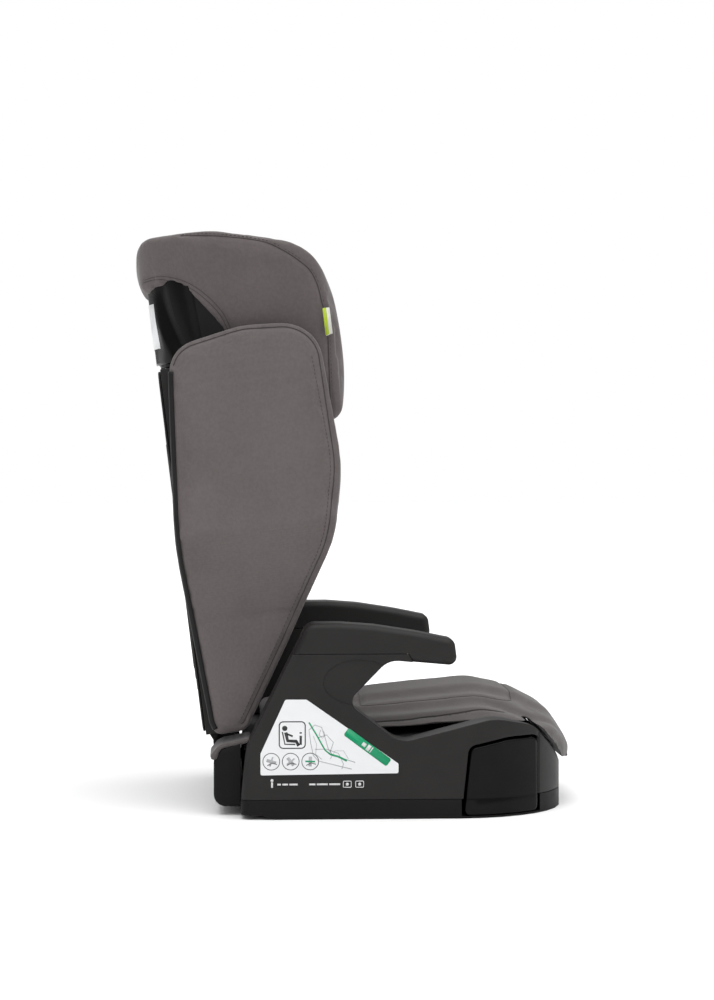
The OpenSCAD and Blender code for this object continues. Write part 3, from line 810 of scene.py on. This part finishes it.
def on_outer_wall(point, slack=0.3 * MM):
    """True on the base's outer wall: flat sides, then round front corners."""
    low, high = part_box("base_tray")
    radius = high.x - CORNER_X
    centre_y = low.y + radius
    if point.y > centre_y:
        return abs(point.x) > high.x - slack
    return math.hypot(abs(point.x) - CORNER_X, point.y - centre_y) > radius - slack - 0.8 * MM


class SEAT_OT_armrests(bpy.types.Operator):
    """Side panels, armrest caps and the armrests' inner skins"""

    bl_idname = "seat.armrests"
    bl_label = "Side panels and armrests"

    def execute(self, context):
        panel_edge, scoop_edge, small_edge = 1.3 * MM, 0.5 * MM, sizes().small_edge
        foot_z = 23 * MM

        def panel_radius(e):
            m = middle(e)
            scoop = math.hypot((m.y - 38 * MM) / 42, (m.z - 155 * MM) / 27) < 1 * MM
            if scoop and all(on_outer_wall(v.co, 1.7 * MM) for v in e.verts):
                return scoop_edge
            return panel_edge if on_outer_wall(m) and m.z > foot_z else small_edge

        for side, mirror in SIDES.items():
            moulded(f"side_moulding_{side}", [f"side_panel_{side}"], "moulding", "base",
                    panel_radius, panel_edge, 4)
            self.cap(side, mirror)
            moulded(f"inner_skin_{side}", [f"arm_liner_{side}"], "moulding", "base",
                    None, 0.9 * MM)
        return {"FINISHED"}

    def cap(self, side, mirror):
        """Armrest cap: a full rounded slab, cut flat along its seam."""
        cap_edge = sizes().arm_edge
        seam_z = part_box("arm_liner_right")[1].z
        node = f"arm_cap_{side}"
        bm = cad_copy(node)
        low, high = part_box(node)
        outer_x = low.x if mirror > 0 else high.x
        inner_x = high.x if mirror > 0 else low.x
        face = max((f for f in bm.faces if abs(f.calc_center_median().x - outer_x) < 0.1 * MM),
                   key=lambda f: f.calc_area())
        points = [(v.co.y / MM, v.co.z / MM) for v in face.verts]
        bm.free()
        bm = prism(points, outer_x / MM, inner_x / MM, base_side)

        def cap_radius(e):
            m = middle(e)
            rim = abs(m.x - outer_x) < 0.1 * MM or abs(m.x - inner_x) < 0.1 * MM
            seam = all(v.co.z < seam_z + 0.8 * MM and v.co.y > -26 * MM for v in e.verts)
            return cap_edge if rim and not seam else 0.6 * MM

        weigh(bm, cap_radius, cap_edge)
        add_piece(f"arm_top_{side}", bm, "moulding", "base", [node],
                  cap_edge, 6)


class SEAT_OT_cups(bpy.types.Operator):
    """Slide-out cup holders"""

    bl_idname = "seat.cups"
    bl_label = "Cup holders"

    def execute(self, context):
        for side in SIDES:
            node = f"cup_holder_{side}"
            seam_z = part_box(node)[0].z + 19 * MM

            def groove(bm):
                for z in (seam_z - 0.9 * MM, seam_z, seam_z + 0.9 * MM):
                    bmesh.ops.bisect_plane(bm, geom=bm.verts[:] + bm.edges[:] + bm.faces[:],
                                           plane_co=(0, 0, z), plane_no=(0, 0, 1))
                for v in bm.verts:
                    if abs(v.co.z - seam_z) < 0.05 * MM and on_outer_wall(v.co):
                        v.co.x *= 1 - 1.9 * MM / abs(v.co.x)

            def radius(e):
                m = middle(e)
                if abs(m.z - seam_z) < 1.2 * MM:
                    return 0.15 * MM
                return 2.2 * MM if on_outer_wall(m) else 0.7 * MM

            moulded(f"cup_drawer_{side}", [node], "gloss_moulding", f"cup_{side}",
                    radius, 2.2 * MM, 4, groove)
        return {"FINISHED"}


# ---------- seat ----------


class SEAT_OT_cushion(bpy.types.Operator):
    """Seat cushion with its sewn panel, piped edge and rear hem"""

    bl_idname = "seat.cushion"
    bl_label = "Seat cushion"

    def execute(self, context):
        def room(point, normal):
            return (1 if normal.z < -0.3 else 3.4) * MM

        bm = remeshed(cad_copy("seat_cushion"), sizes().voxel, 16)
        grown(bm, lambda point, normal: -1.5 * MM if normal.z > 0.2 or normal.y < -0.2 else 0)
        bm = subdivided(swollen(bm, room))
        tree = surface(bm)
        down = Vector((0, 0, -1))

        panel = rounded([(-100, 30, 8), (-100, -150, 34), (100, -150, 34), (100, 30, 8)])
        panel_line = laid_on(tree, [Vector((p.x, p.y, 90)) * MM for p in even(panel, 2, True)],
                             down)
        edge_lines = []
        for sign in (1, -1):
            path = smooth_line([(-152, 140), (-152, 60), (-151, -20), (-149, -80), (-143, -122),
                                (-138, -136)], 2)
            edge_lines.append(laid_on(
                tree, [Vector((p.x * sign, p.y, 90)) * MM for p in path], down))
        draw_in(bm, [panel_line] + edge_lines, 1.7 * MM, 9 * MM)
        tree = surface(bm)
        lines = [laid_on(tree, spots(line), down, 0.1 * MM)
                 for line in [panel_line] + edge_lines]
        pad = add_piece("seat_pad", bm, "seat_weave", "base",
                        ["seat_cushion", "seat_foam"])
        cords = [tube(spots(lines[0]), 0.55 * MM, True)]
        cords += [tube(spots(line), 1.5 * MM, sides=8) for line in lines[1:3]]
        cords += [stitches(lines[0], 3.2 * MM)] + [stitches(line, 3.4 * MM * s)
                                                  for line, s in zip(lines[1:3], (-1, 1))]
        add_piece("seat_seams", joined(*cords), "thread", "base")
        self.hem()
        return {"FINISHED"}

    def hem(self):
        """Rear edge of the cover, rolled over the hinge block's ends."""
        bm = cad_copy("cover_hem")
        low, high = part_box("cover_hem")
        under_panel = 12 * MM
        for v in bm.verts:
            if v.co.y < low.y + 2 * MM:
                v.co.y -= under_panel
        bm = remeshed(bm, 1.8 * MM, 4)

        def swell(point, normal):
            rise = (point.z - low.z) / (high.z - low.z)
            return (0.8 + 2.2 * math.exp(-(rise / 0.3) ** 2)) * MM

        grown(bm, swell)
        hem = add_piece("rear_hem", bm, "seat_weave", "base", ["cover_hem"])


# ---------- backrest ----------


def rear_line(w):
    """Rear edge of a wing, v at height w, in millimetres."""
    w = max(min(p.y for p in WING) + 0.1, min(max(p.y for p in WING) - 0.1, w))
    crossings = []
    for a, b in zip(WING, WING[1:] + WING[:1]):
        if (a.y - w) * (b.y - w) <= 0 and a.y != b.y:
            crossings.append(a.x + (b.x - a.x) * (w - a.y) / (b.y - a.y))
    return max(crossings)


class SEAT_OT_wings(bpy.types.Operator):
    """Padded wings with their seams and rear plastic edge"""

    bl_idname = "seat.wings"
    bl_label = "Wings"

    def execute(self, context):
        solids = ["wing_foam_right", "wing_shell_right", "wing_cover_right"]
        bm = remeshed(cad_copy(*solids), 4 * MM, 5)

        def room(point, normal):
            return (0.8 if abs(normal.x) < 0.6 else 4.0 if normal.x < 0 else 1.5) * MM

        grown(bm, -1.6 * MM)
        bm = swollen(bm, room)
        bm = fitted(subdivided(bm), *back_box(*solids))
        tree = surface(bm)
        rim = [a.lerp(b, ease((a.y - 360) / 90))
               for a, b in zip(inset(WING, 8.5), inset(WING, 4.5))]
        stitch_line = inset(WING, 13)

        def ahead(points):
            keep = [p for p in points if p.x < -20 or p.y > 440]
            first = max(range(len(keep)), key=lambda i: (keep[i] - keep[i - 1]).length)
            return keep[first:] + keep[:first]

        seams = []
        for outline, stop in ((rim, 999), (stitch_line, 436)):
            path = even([p for p in ahead(outline) if p.y < stop], 2)
            seams.append(laid_on(tree, [back_side(p.x, p.y, -190) for p in path], OUT))
        inner_path = even(ahead(inset(WING, 16)), 2)
        inner = laid_on(tree, [back_side(p.x, p.y, -190) for p in inner_path], -OUT)
        draw_in(bm, [seams[0]], 1.5 * MM, 6 * MM)
        draw_in(bm, [inner], 2.2 * MM, 9 * MM)
        tree = surface(bm)
        seams = [laid_on(tree, spots(line), OUT, 0.05 * MM) for line in seams]
        inner = laid_on(tree, spots(inner), -OUT, 0.05 * MM)
        threads = joined(tube(spots(seams[0]), 0.6 * MM), stitches(seams[1]),
                         tube(spots(inner), 0.6 * MM), stitches(inner, 3.5 * MM))
        spine = self.spine(bm)
        pieces = {
            "wing": (bm, "cover_weave", "cover_fabric"),
            "wing_seams": (threads, "thread", "cover_fabric"),
            "wing_edge": (spine, "spine_moulding", "shell_plastic"),
        }
        for side, mirror in SIDES.items():
            for name, (mesh, look, slot) in pieces.items():
                shape = mesh.copy() if mirror > 0 else mirrored(mesh)
                nodes = {
                    "wing": [f"wing_cover_{side}", f"wing_foam_{side}", f"wing_pad_{side}"],
                    "wing_edge": [f"wing_shell_{side}"],
                }.get(name, ())
                obj = add_piece(f"{name}_{side}", shape, look, "back", nodes)
                name == "wing"
        for mesh, _, _ in pieces.values():
            mesh.free()
        return {"FINISHED"}

    def spine(self, cover):
        """Plastic edge that wraps the wing's rear, swept along the rear line."""
        tree = surface(cover)
        path = smooth_line([(rear_line(w), w) for w in range(20, 452, 12)], 3)
        rows = []
        for before, here, after in zip(path[:-2], path[1:-1], path[2:]):
            along = (after - before).normalized()
            normal = Vector((along.y, -along.x))
            lip = here - normal * 7
            sides = [laid_on(tree, [back_side(lip.x, lip.y, -190)], way) for way in (OUT, -OUT)]
            if all(sides):
                outer, inner = (side[0][0].x / MM for side in sides)
                rows.append((here, normal, outer - 0.9, inner + 0.9))
        for k, (here, normal, outer, inner) in enumerate(rows):
            near = rows[max(0, k - 3):k + 4]
            rows[k] = (here, normal, sum(r[2] for r in near) / len(near),
                       sum(r[3] for r in near) / len(near))
        bm = bmesh.new()
        rings = [[bm.verts.new(q) for q in self.spine_ring(*row)] for row in rows]
        for a, b in zip(rings, rings[1:]):
            for k in range(len(a)):
                bm.faces.new((a[k - 1], a[k], b[k], b[k - 1]))
        bm.faces.new(rings[0])
        bm.faces.new(rings[-1][::-1])
        bmesh.ops.recalc_face_normals(bm, faces=bm.faces)
        return bm

    def spine_ring(self, here, normal, outer, inner):
        """Section of the plastic edge: a U, open to the front."""
        centre, half = (outer + inner) / 2, (inner - outer) / 2
        ring = []
        for scale, depth, turns in ((1.0, 6.2, range(-6, 7)), (1 - 2 / half, 4.4,
                                                             range(6, -7, -1))):
            for turn in turns:
                angle = math.radians(turn * 15)
                across = math.copysign(abs(math.sin(angle)) ** 0.55, turn)
                reach = max(0.0, math.cos(angle)) ** 0.55 * depth - 5
                spot = here + normal * reach
                ring.append(back_side(spot.x, spot.y, centre + half * scale * across))
        return ring


class SEAT_OT_back(bpy.types.Operator):
    """Back pad, back shell and its rear cover with ribs"""

    bl_idname = "seat.back"
    bl_label = "Backrest"

    def execute(self, context):
        bm = remeshed(cad_copy("back_pad"), sizes().voxel, 8)

        def room(point, normal):
            return 8 * MM if normal.y < -0.3 else 0.5 * MM

        bm = subdivided(swollen(bm, room))
        tree = surface(bm)
        rear = BACK.to_3x3() @ Vector((0, 1, 0))
        lines = []
        for w in (95, 168, 241):
            path = [back_front(x, w - 10 * (x / 96) ** 2, -30) for x in range(-96, 97, 2)]
            lines.append(laid_on(tree, path, rear))
        for sign in (1, -1):
            path = smooth_line([(100 * sign, 30), (97 * sign, 120), (96 * sign, 240),
                                (104 * sign, 335)], 2)
            lines.append(laid_on(tree, [back_front(p.x, p.y, -30) for p in path], rear))
        draw_in(bm, lines[:3], 3.4 * MM, 13 * MM)
        draw_in(bm, lines[3:], 3.0 * MM, 10 * MM)
        tree = surface(bm)
        lines = [laid_on(tree, spots(line), rear, 0.05 * MM) for line in lines]
        pad = add_piece("back_padding", bm, "lining_mesh", "back", ["back_pad"])
        cords = [tube(spots(line), 0.5 * MM) for line in lines]
        cords += [stitches(line, 2.6 * MM) for line in lines]
        add_piece("back_seams", joined(*cords), "thread", "back")
        moulded("back_frame", ["back_shell"], "moulding", "back")
        moulded("rear_cover", ["back_cover"], "moulding", "back",
                None, 1.4 * MM, 3)
        self.ribs()
        return {"FINISHED"}

    def ribs(self):
        """Raised ribs on the rear cover, round-ended and low."""
        rear, height, half = 23.0, 2.6, 4.5
        end = half - 0.1
        parts = []
        for sign in (1, -1):
            for x, w0, w1 in ((62, 60, 385), (84, 75, 370), (106, 90, 355)):
                left, right = sign * x - half, sign * x + half
                outline = rounded([(left, w0, end), (right, w0, end), (right, w1, end),
                                   (left, w1, end)], 15)
                bm = prism(outline, rear, rear + height, back_front)
                rims = [e for e in bm.edges
                        if all((FROM_BACK @ v.co).y > (rear + 2) * MM for v in e.verts)]
                bmesh.ops.bevel(bm, geom=rims, offset=1.6 * MM, affect="EDGES", segments=3,
                                profile=0.5, material=-1)
                parts.append(bm)
        add_piece("rear_ribs", joined(*parts), "moulding", "back")


# ---------- headrest ----------


class SEAT_OT_headrest(bpy.types.Operator):
    """Headrest cover, inner padding, glossy shell and belt guides"""

    bl_idname = "seat.headrest"
    bl_label = "Headrest"

    def execute(self, context):
        self.cover()
        self.padding()
        self.shell()
        return {"FINISHED"}

    def cover(self):
        sideways = prism(inset(HEAD, 3), -180, 180, back_side)
        plan = prism(inset(HEAD_PLAN, 3), 350, 600, back_plan)
        bm = remeshed(shared(sideways, plan), 4 * MM, 6)
        grown(bm, 2.4 * MM)

        def room(point, normal):
            return (1.5 if abs(normal.x) > 0.7 or normal.z > 0.4 else 4.5) * MM

        bm = swollen(bm, room)
        low, high = back_box("head_cover")
        bm = fitted(subdivided(bm), low, high + Vector((0, 1, 1)) * MM)
        tree = surface(bm)
        hem = [(-64, 470), (-55.5, 493.5), (-39.5, 515), (-22, 530.5), (-4, 539.5), (14, 543.5),
               (31, 542)]
        front = [(-22, 589), (-66, 583), (-112, 572), (-135, 559), (-154, 543), (-164, 531),
                 (-170, 515), (-173, 493), (-176, 470), (-172, 420), (-168, 372)]
        paths = {
            "hem": smooth_line(hem, 2),
            "front": smooth_line(front, 2),
            "hem_inner": smooth_line([(a - 2.8, b + 3.0) for a, b in hem], 2),
        }
        lines = []
        for sign in (1, -1):
            for name, path in paths.items():
                start = [back_side(p.x, p.y, -150 * sign) for p in path]
                lines.append((name, sign, laid_on(tree, start, OUT * sign)))
        draw_in(bm, [line for name, _, line in lines if name != "front"], 0.8 * MM, 4 * MM)
        draw_in(bm, [line for name, _, line in lines if name == "front"], 1.6 * MM, 7 * MM)
        tree = surface(bm)
        threads = []
        for name, sign, line in lines:
            fresh = laid_on(tree, spots(line), OUT * sign, 0.05 * MM)
            threads.append(tube(spots(fresh), (0.6 if name == "front" else 0.4) * MM))
            if name == "front":
                threads.append(stitches(fresh, 2.4 * MM))
        cover = add_piece("head_covering", bm, "head_weave", "headrest",
                          ["head_cover", "head_foam"])
        add_piece("head_seams", joined(*threads), "thread", "headrest")

    def padding(self):
        bm = remeshed(cad_copy("head_pad"), 4 * MM, 4)
        bm = subdivided(swollen(bm, 5 * MM))
        tree = surface(bm)
        lines = []
        for sign in (1, -1):
            for w in (430, 495):
                path = [back_side(v, w + 0.05 * v, 60 * sign) for v in range(-160, -88, 2)]
                lines.append(laid_on_from(tree, path, OUT * -sign))
        draw_in(bm, lines, 2.6 * MM, 10 * MM)
        pad = add_piece("head_padding", bm, "lining_mesh", "headrest",
                        ["head_pad"])

    def shell(self):
        moulded("head_moulding", ["head_shell"], "gloss_moulding", "headrest",
                None, 0.9 * MM)
        self.cheeks()
        for side in SIDES:
            moulded(f"belt_hook_{side}", [f"belt_guide_{side}"], "belt_red", "headrest",
                    None, 1.4 * MM, 3)
        moulded("slide_rail", ["head_carriage"], "tray_moulding", "headrest")
        moulded("pull_grip", ["release_handle"], "grip_moulding", "release",
                None, 1.2 * MM, 3)
        self.tag()
        self.approval()

    def approval(self):
        """Blank approval film wrapped round the shell's rear corner."""
        front_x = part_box("approval_label")[0].x / MM + 26
        bm = bmesh.new()
        bmesh.ops.create_grid(bm, x_segments=14, y_segments=2, size=0.5)
        plan = even(rounded([(-163.9, -100, 0.1), (-163.9, 25.9, 60), (0, 25.9, 0.1),
                             (0, -100, 0.1)], 4), 1)
        plan = [p for p in plan if p.y > 14 and -140 < p.x < front_x]
        for v in bm.verts:
            p = plan[round((v.co.x + 0.5) * (len(plan) - 1))]
            v.co = back_plan(p.x, p.y, 465 + 52 * (v.co.y + 0.5))
        thickened(bm, Vector((0, 1, 0)), 0.35 * MM)
        add_piece("approval_film", bm, "label_film", "headrest",
                  ["approval_label"])

    def cheeks(self):
        """Folded side walls of the head shell, seen in the cover's rear opening."""
        path = rounded([(-162, -120, 0.1), (-162, 24, 60), (0, 24, 0.1), (0, -120, 0.1)], 4)
        line = [p for p in even([p for p in path if p.x < -46], 2) if p.y > -80]
        bm = bmesh.new()
        bmesh.ops.create_grid(bm, x_segments=len(line) - 1, y_segments=40, size=0.5)
        centre = Vector((-102, -36))
        for v in bm.verts:
            p = line[round((v.co.x + 0.5) * (len(line) - 1))]
            t = v.co.y + 0.5
            out = Vector((-1, 0)) if p.y < -36 else (p - centre).normalized()
            s_line = -6 + 12 * math.sin((t - 0.25) * 2.6)
            fold = math.exp(-((p.y - s_line) / 7) ** 2) * -3.2
            ridge = math.exp(-((p.y - s_line - 13) / 6) ** 2) * 1.6
            panel = 2.6 / (1 + math.exp((p.y + 30 - 8 * t) / 1.6))
            share = 0.12 + 0.88 * ease((22 - p.y) / 14) if p.y > -76 else 0.2
            lift = 0.7 + (3.4 + fold + ridge + panel) * share
            q = p + out * lift
            v.co = back_plan(q.x, q.y, 446 + 100 * t)
        thickened(bm, -OUT, 1.5 * MM)
        for side, mirror in SIDES.items():
            shape = bm.copy() if mirror > 0 else mirrored(bm)
            add_piece(f"shell_cheek_{side}", shape, "gloss_moulding", "headrest")
        bm.free()

    def tag(self):
        """Folded fabric tag sewn into the front seam: white, with a green half."""
        for name, look, front, rear, x, nodes in (
                ("tag_fold", "tag_white", -180.5, -172.5, -176.0, ["side_tag"]),
                ("tag_print", "tag_green", -176.5, -172.3, -176.5, ())):
            outline = rounded([(front, 457, 1), (rear, 455, 1), (rear, 487, 1),
                               (front, 487, 1)])
            bm = prism(outline, x, x + 1.2, back_side)
            add_piece(name, bm, look, "headrest", nodes)


# ---------- stickers ----------


def strip(points, width):
    """Outline of a straight-cornered line of that width."""
    left, right = [], []
    for i, p in enumerate(points):
        a = points[max(i - 1, 0)]
        b = points[min(i + 1, len(points) - 1)]
        along = (b - a).normalized()
        across = Vector((-along.y, along.x)) * width / 2
        left.append(p + across)
        right.append(p - across)
    return left + right[::-1]


def disc(y, z, radius, count=28):
    return [Vector((y + radius * math.cos(2 * math.pi * i / count),
                    z + radius * math.sin(2 * math.pi * i / count))) for i in range(count)]


class SEAT_OT_stickers(bpy.types.Operator):
    """Side stickers with generic pictures of how the belt runs"""

    bl_idname = "seat.stickers"
    bl_label = "Stickers"

    def execute(self, context):
        for side, mirror in SIDES.items():
            node = f"label_{side}"
            moulded(f"sticker_{side}", [node], "label_film", "base", None,
                    0.15 * MM, 1)
            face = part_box(node)[0].x if mirror > 0 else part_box(node)[1].x
            prints = {"print_black": [], "print_grey": [], "print_green": [],
                      "print_white": []}
            self.draw(prints)
            for look, shapes in prints.items():
                parts = []
                for level, outline in shapes:
                    if sum(a.cross(b) for a, b in zip(outline, outline[1:] + outline[:1])) < 0:
                        outline = outline[::-1]
                    lift = (0.05 + 0.06 * level) * mirror
                    parts.append(prism(outline, face / MM + 0.03 * mirror,
                                       face / MM - lift, base_side))
                add_piece(f"{look}_{side}", joined(*parts), look, "base")
        return {"FINISHED"}

    def draw(self, prints):
        black, grey = prints["print_black"], prints["print_grey"]
        green, white = prints["print_green"], prints["print_white"]

        def line(ink, points, width, level=0):
            ink.append((level, strip([Vector(p) for p in points], width)))

        def frame_line(ink, points, width):
            line(ink, points + [points[0]], width)

        def placed(points, y, z, size=1.0):
            return [(y + a * size, z + b * size) for a, b in points]

        # square picture: a seated figure and a booklet
        box = rounded([(99.5, 111, 4.5), (128.8, 111, 4.5), (128.8, 81, 4.5), (99.5, 81, 4.5)])
        frame_line(black, box, 1.3)
        black.append((0, disc(122.6, 103.6, 3)))
        for points, width in (
                ([(19.5, 16), (17.5, 7.5), (9, 7), (6.5, 2.5)], 3.8),
                ([(18.5, 14.5), (12.5, 12)], 2),
                ([(22.8, 16.5), (20.3, 4.1), (10, 3.9)], 1.5),
                ([(4.5, 12.5), (4.5, 3.5)], 2.7),
                ([(4.5, 16.1), (4.5, 14.7)], 2.7)):
            line(black, placed(points, 99.5, 81, 1.13), width)
        # three round pictures
        for y, turn in ((137.8, 0.3), (115.9, 0.9), (93.9, 1.6)):
            frame_line(black, disc(y, 66, 9.5), 0.8)
            c, s = math.cos(turn), math.sin(turn)
            line(grey, placed([(-5.5 * c, -5.5 * s), (5.5 * c, 5.5 * s)], y, 66), 3.6)
            line(green if y < 100 else grey,
                 placed([(5.5 * s, -5.5 * c), (-5.5 * s, 5.5 * c)], y, 66), 1.8, 1)
            line(black, placed([(-6.5, -3.2), (-1, -1.6), (4.5, -4.4)], y, 66), 0.8, 1)
        # line drawing of the seat with the belt across it
        for points, width in (
                ([(55, 47), (48, 53), (40, 50), (36, 38), (32, 24), (26, 16), (12, 12),
                  (0, 8)], 0.9),
                ([(55, 47), (53, 32), (50, 17), (44, 10), (20, 4), (4, 0)], 0.9),
                ([(44, 38), (34, 41), (26, 32), (30, 20)], 0.9),
                ([(48, 24), (34, 24), (20, 19), (14, 6), (16, 0)], 0.8),
                ([(41, 47), (43, 41), (39, 37), (36, 41), (38, 46)], 0.8),
                ([(50, 40), (46, 30), (47, 18), (40, 12)], 0.6),
                ([(30, 12), (24, 22), (14, 22), (8, 12)], 0.6)):
            line(grey, placed(points, 43, 57, 0.95), width)
        line(green, placed([(55, 56), (46, 41), (36, 23), (30, 18)], 43, 57, 0.95), 1.6, 1)
        line(green, placed([(30, 18), (20, 15), (10, 10)], 43, 57, 0.95), 2.2, 1)
        # wide belt band with its buckle
        start, end = Vector((53.4, 99.8)), Vector((4.9, 63.8))
        across = (end - start).orthogonal().normalized() * 5
        green.append((1, rounded([(*p, 2.4) for p in (start + across, end + across,
                                                      end - across, start - across)])))
        for first, last, width in ((0.38, 0.46, 4.4), (0.49, 0.56, 7), (0.58, 0.60, 7)):
            line(white, [start.lerp(end, first), start.lerp(end, last)], width, 2)
        # row of small marks along the foot of the panel
        white.append((0, disc(137, 44.6, 1.7, 14)))
        line(white, [(137, 42.6), (137, 36.4)], 2.2)
        for start, end in ((131, 127), (125.5, 119), (117.5, 108), (95, 88), (86.5, 74),
                           (72.5, 60)):
            line(white, [(start, 40), (end, 40)], 2.0)
        for y in (52, 38):
            box = rounded([(y - 4.5, 36.5, 1), (y + 4.5, 36.5, 1), (y + 4.5, 43.5, 1),
                           (y - 4.5, 43.5, 1)])
            frame_line(white, box, 0.8)
            white.append((0, disc(y, 40, 1.8, 14)))


class SEAT_OT_fittings(bpy.types.Operator):
    """Finishes of the CAD fittings that keep their own shape"""

    bl_idname = "seat.fittings"
    bl_label = "Fittings"

    def execute(self, context):
        looks = {
            "steel": ["base_screws", "hinge_rod", "back_screws", "head_screws", "cam_plate",
                      "return_spring", "latch_bolt_right", "latch_bolt_left"],
            "tray_moulding": ["rack_right", "rack_left", "cup_guide_right", "cup_guide_left"],
        }
        for look, nodes in looks.items():
            for node in nodes:
                obj = frame["nodes"][node]
                obj.data.materials.clear()
                obj.data.materials.append(finish(look))
        return {"FINISHED"}


# ---------- stage ----------


class SEAT_OT_stage(bpy.types.Operator):
    """Pale floor, soft studio light and the camera"""

    bl_idname = "seat.stage"
    bl_label = "Stage"

    def execute(self, context):
        self.camera(context.scene)
        self.floor()
        self.lights()
        return {"FINISHED"}

    def camera(self, scene):
        data = bpy.data.cameras.new("camera")
        camera = new_object("camera", data)
        camera.location = (-3.155, 0.184, 0.431)
        camera.rotation_mode = "QUATERNION"
        look = Vector((1, -0.04876, -0.0238))
        camera.rotation_quaternion = look.to_track_quat("-Z", "Y")
        data.lens, data.sensor_width = 93.8, 36
        data.dof.use_dof = False
        scene.camera = camera
        scene.view_settings.view_transform = "Standard"

    def floor(self):
        bm = bmesh.new()
        bmesh.ops.create_circle(bm, cap_ends=True, segments=96, radius=14)
        mesh = mesh_of("floor", bm)
        obj = new_object("floor", mesh)
        look = Finish("floor_paint", Specular_IOR_Level=0.1)
        cloud = look.noise(1.5, 3)
        look.drive("Base Color", look.blend(cloud, (0.93, 0.93, 0.93, 1), (0.96, 0.96, 0.96, 1)))
        look.drive("Roughness", 0.8 + cloud * 0.1)
        mesh.materials.append(look.material)

    def lights(self):
        world = bpy.data.worlds.new("studio")
        bpy.context.scene.world = world
        world.use_nodes = True
        tree = world.node_tree
        sky = tree.nodes["Background"]
        place = tree.nodes.new("ShaderNodeTexCoord")
        split = tree.nodes.new("ShaderNodeSeparateXYZ")
        ramp = tree.nodes.new("ShaderNodeValToRGB")
        ramp.color_ramp.elements[0].position = 0.0
        ramp.color_ramp.elements[0].color = (0.42, 0.42, 0.42, 1)
        ramp.color_ramp.elements[1].position = 0.85
        ramp.color_ramp.elements[1].color = (1.0, 1.0, 1.0, 1)
        tree.links.new(place.outputs["Generated"], split.inputs[0])
        tree.links.new(split.outputs["Z"], ramp.inputs[0])
        tree.links.new(ramp.outputs[0], sky.inputs["Color"])
        sky.inputs["Strength"].default_value = 0.76
        seen = tree.nodes.new("ShaderNodeBackground")
        seen.inputs["Color"].default_value = (1, 1, 1, 1)
        path = tree.nodes.new("ShaderNodeLightPath")
        mix = tree.nodes.new("ShaderNodeMixShader")
        tree.links.new(path.outputs["Is Camera Ray"], mix.inputs[0])
        tree.links.new(sky.outputs[0], mix.inputs[1])
        tree.links.new(seen.outputs[0], mix.inputs[2])
        tree.links.new(mix.outputs[0], tree.nodes["World Output"].inputs["Surface"])
        lamps = (
            ("overhead", "SUN", (-0.5, -0.1, 2.0), (0, 0, 0), 1.2, 2.3),
            ("camera_side", "AREA", (-2.9, 0.6, 1.1), (0, 0.1, 0.35), 1.5, 9),
            ("front_side", "AREA", (-1.0, -2.4, 1.5), (0, 0, 0.3), 1.6, 6),
            ("far_side", "AREA", (2.4, 0.8, 1.6), (0, 0, 0.3), 1.8, 12),
        )
        for name, kind, place, target, size, power in lamps:
            data = bpy.data.lights.new(name, kind)
            if kind == "SUN":
                data.angle = size
            else:
                data.shape, data.size = "SQUARE", size
            data.energy = power
            lamp = new_object(name, data)
            lamp.location = place
            aim = Vector(target) - Vector(place)
            lamp.rotation_euler = aim.to_track_quat("-Z", "Y").to_euler()


# ---------- add-on ----------


STEPS = (SEAT_OT_stage, SEAT_OT_tray, SEAT_OT_armrests, SEAT_OT_cups, SEAT_OT_cushion,
         SEAT_OT_wings, SEAT_OT_back, SEAT_OT_headrest, SEAT_OT_stickers, SEAT_OT_fittings)


class SEAT_PT_panel(bpy.types.Panel):
    """Sidebar panel that lists the steps"""

    bl_label = "Booster seat"
    bl_idname = "SEAT_PT_panel"
    bl_space_type = "VIEW_3D"
    bl_region_type = "UI"
    bl_category = "Booster seat"

    def draw(self, context):
        for group in (context.scene.seat_sizes, context.scene.seat_colours):
            for name in group.__annotations__:
                self.layout.prop(group, name)
        for step in STEPS:
            self.layout.operator(step.bl_idname)


CLASSES = (SeatSizes, SeatColours) + STEPS + (SEAT_PT_panel,)


def register():
    for item in CLASSES:
        bpy.utils.register_class(item)
    bpy.types.Scene.seat_sizes = bpy.props.PointerProperty(type=SeatSizes)
    bpy.types.Scene.seat_colours = bpy.props.PointerProperty(type=SeatColours)


def unregister():
    del bpy.types.Scene.seat_colours
    del bpy.types.Scene.seat_sizes
    for item in reversed(CLASSES):
        bpy.utils.unregister_class(item)


def main():
    register()
    for step in STEPS:
        group, name = step.bl_idname.split(".")
        getattr(getattr(bpy.ops, group), name)()


if __name__ == "__main__":
    main()
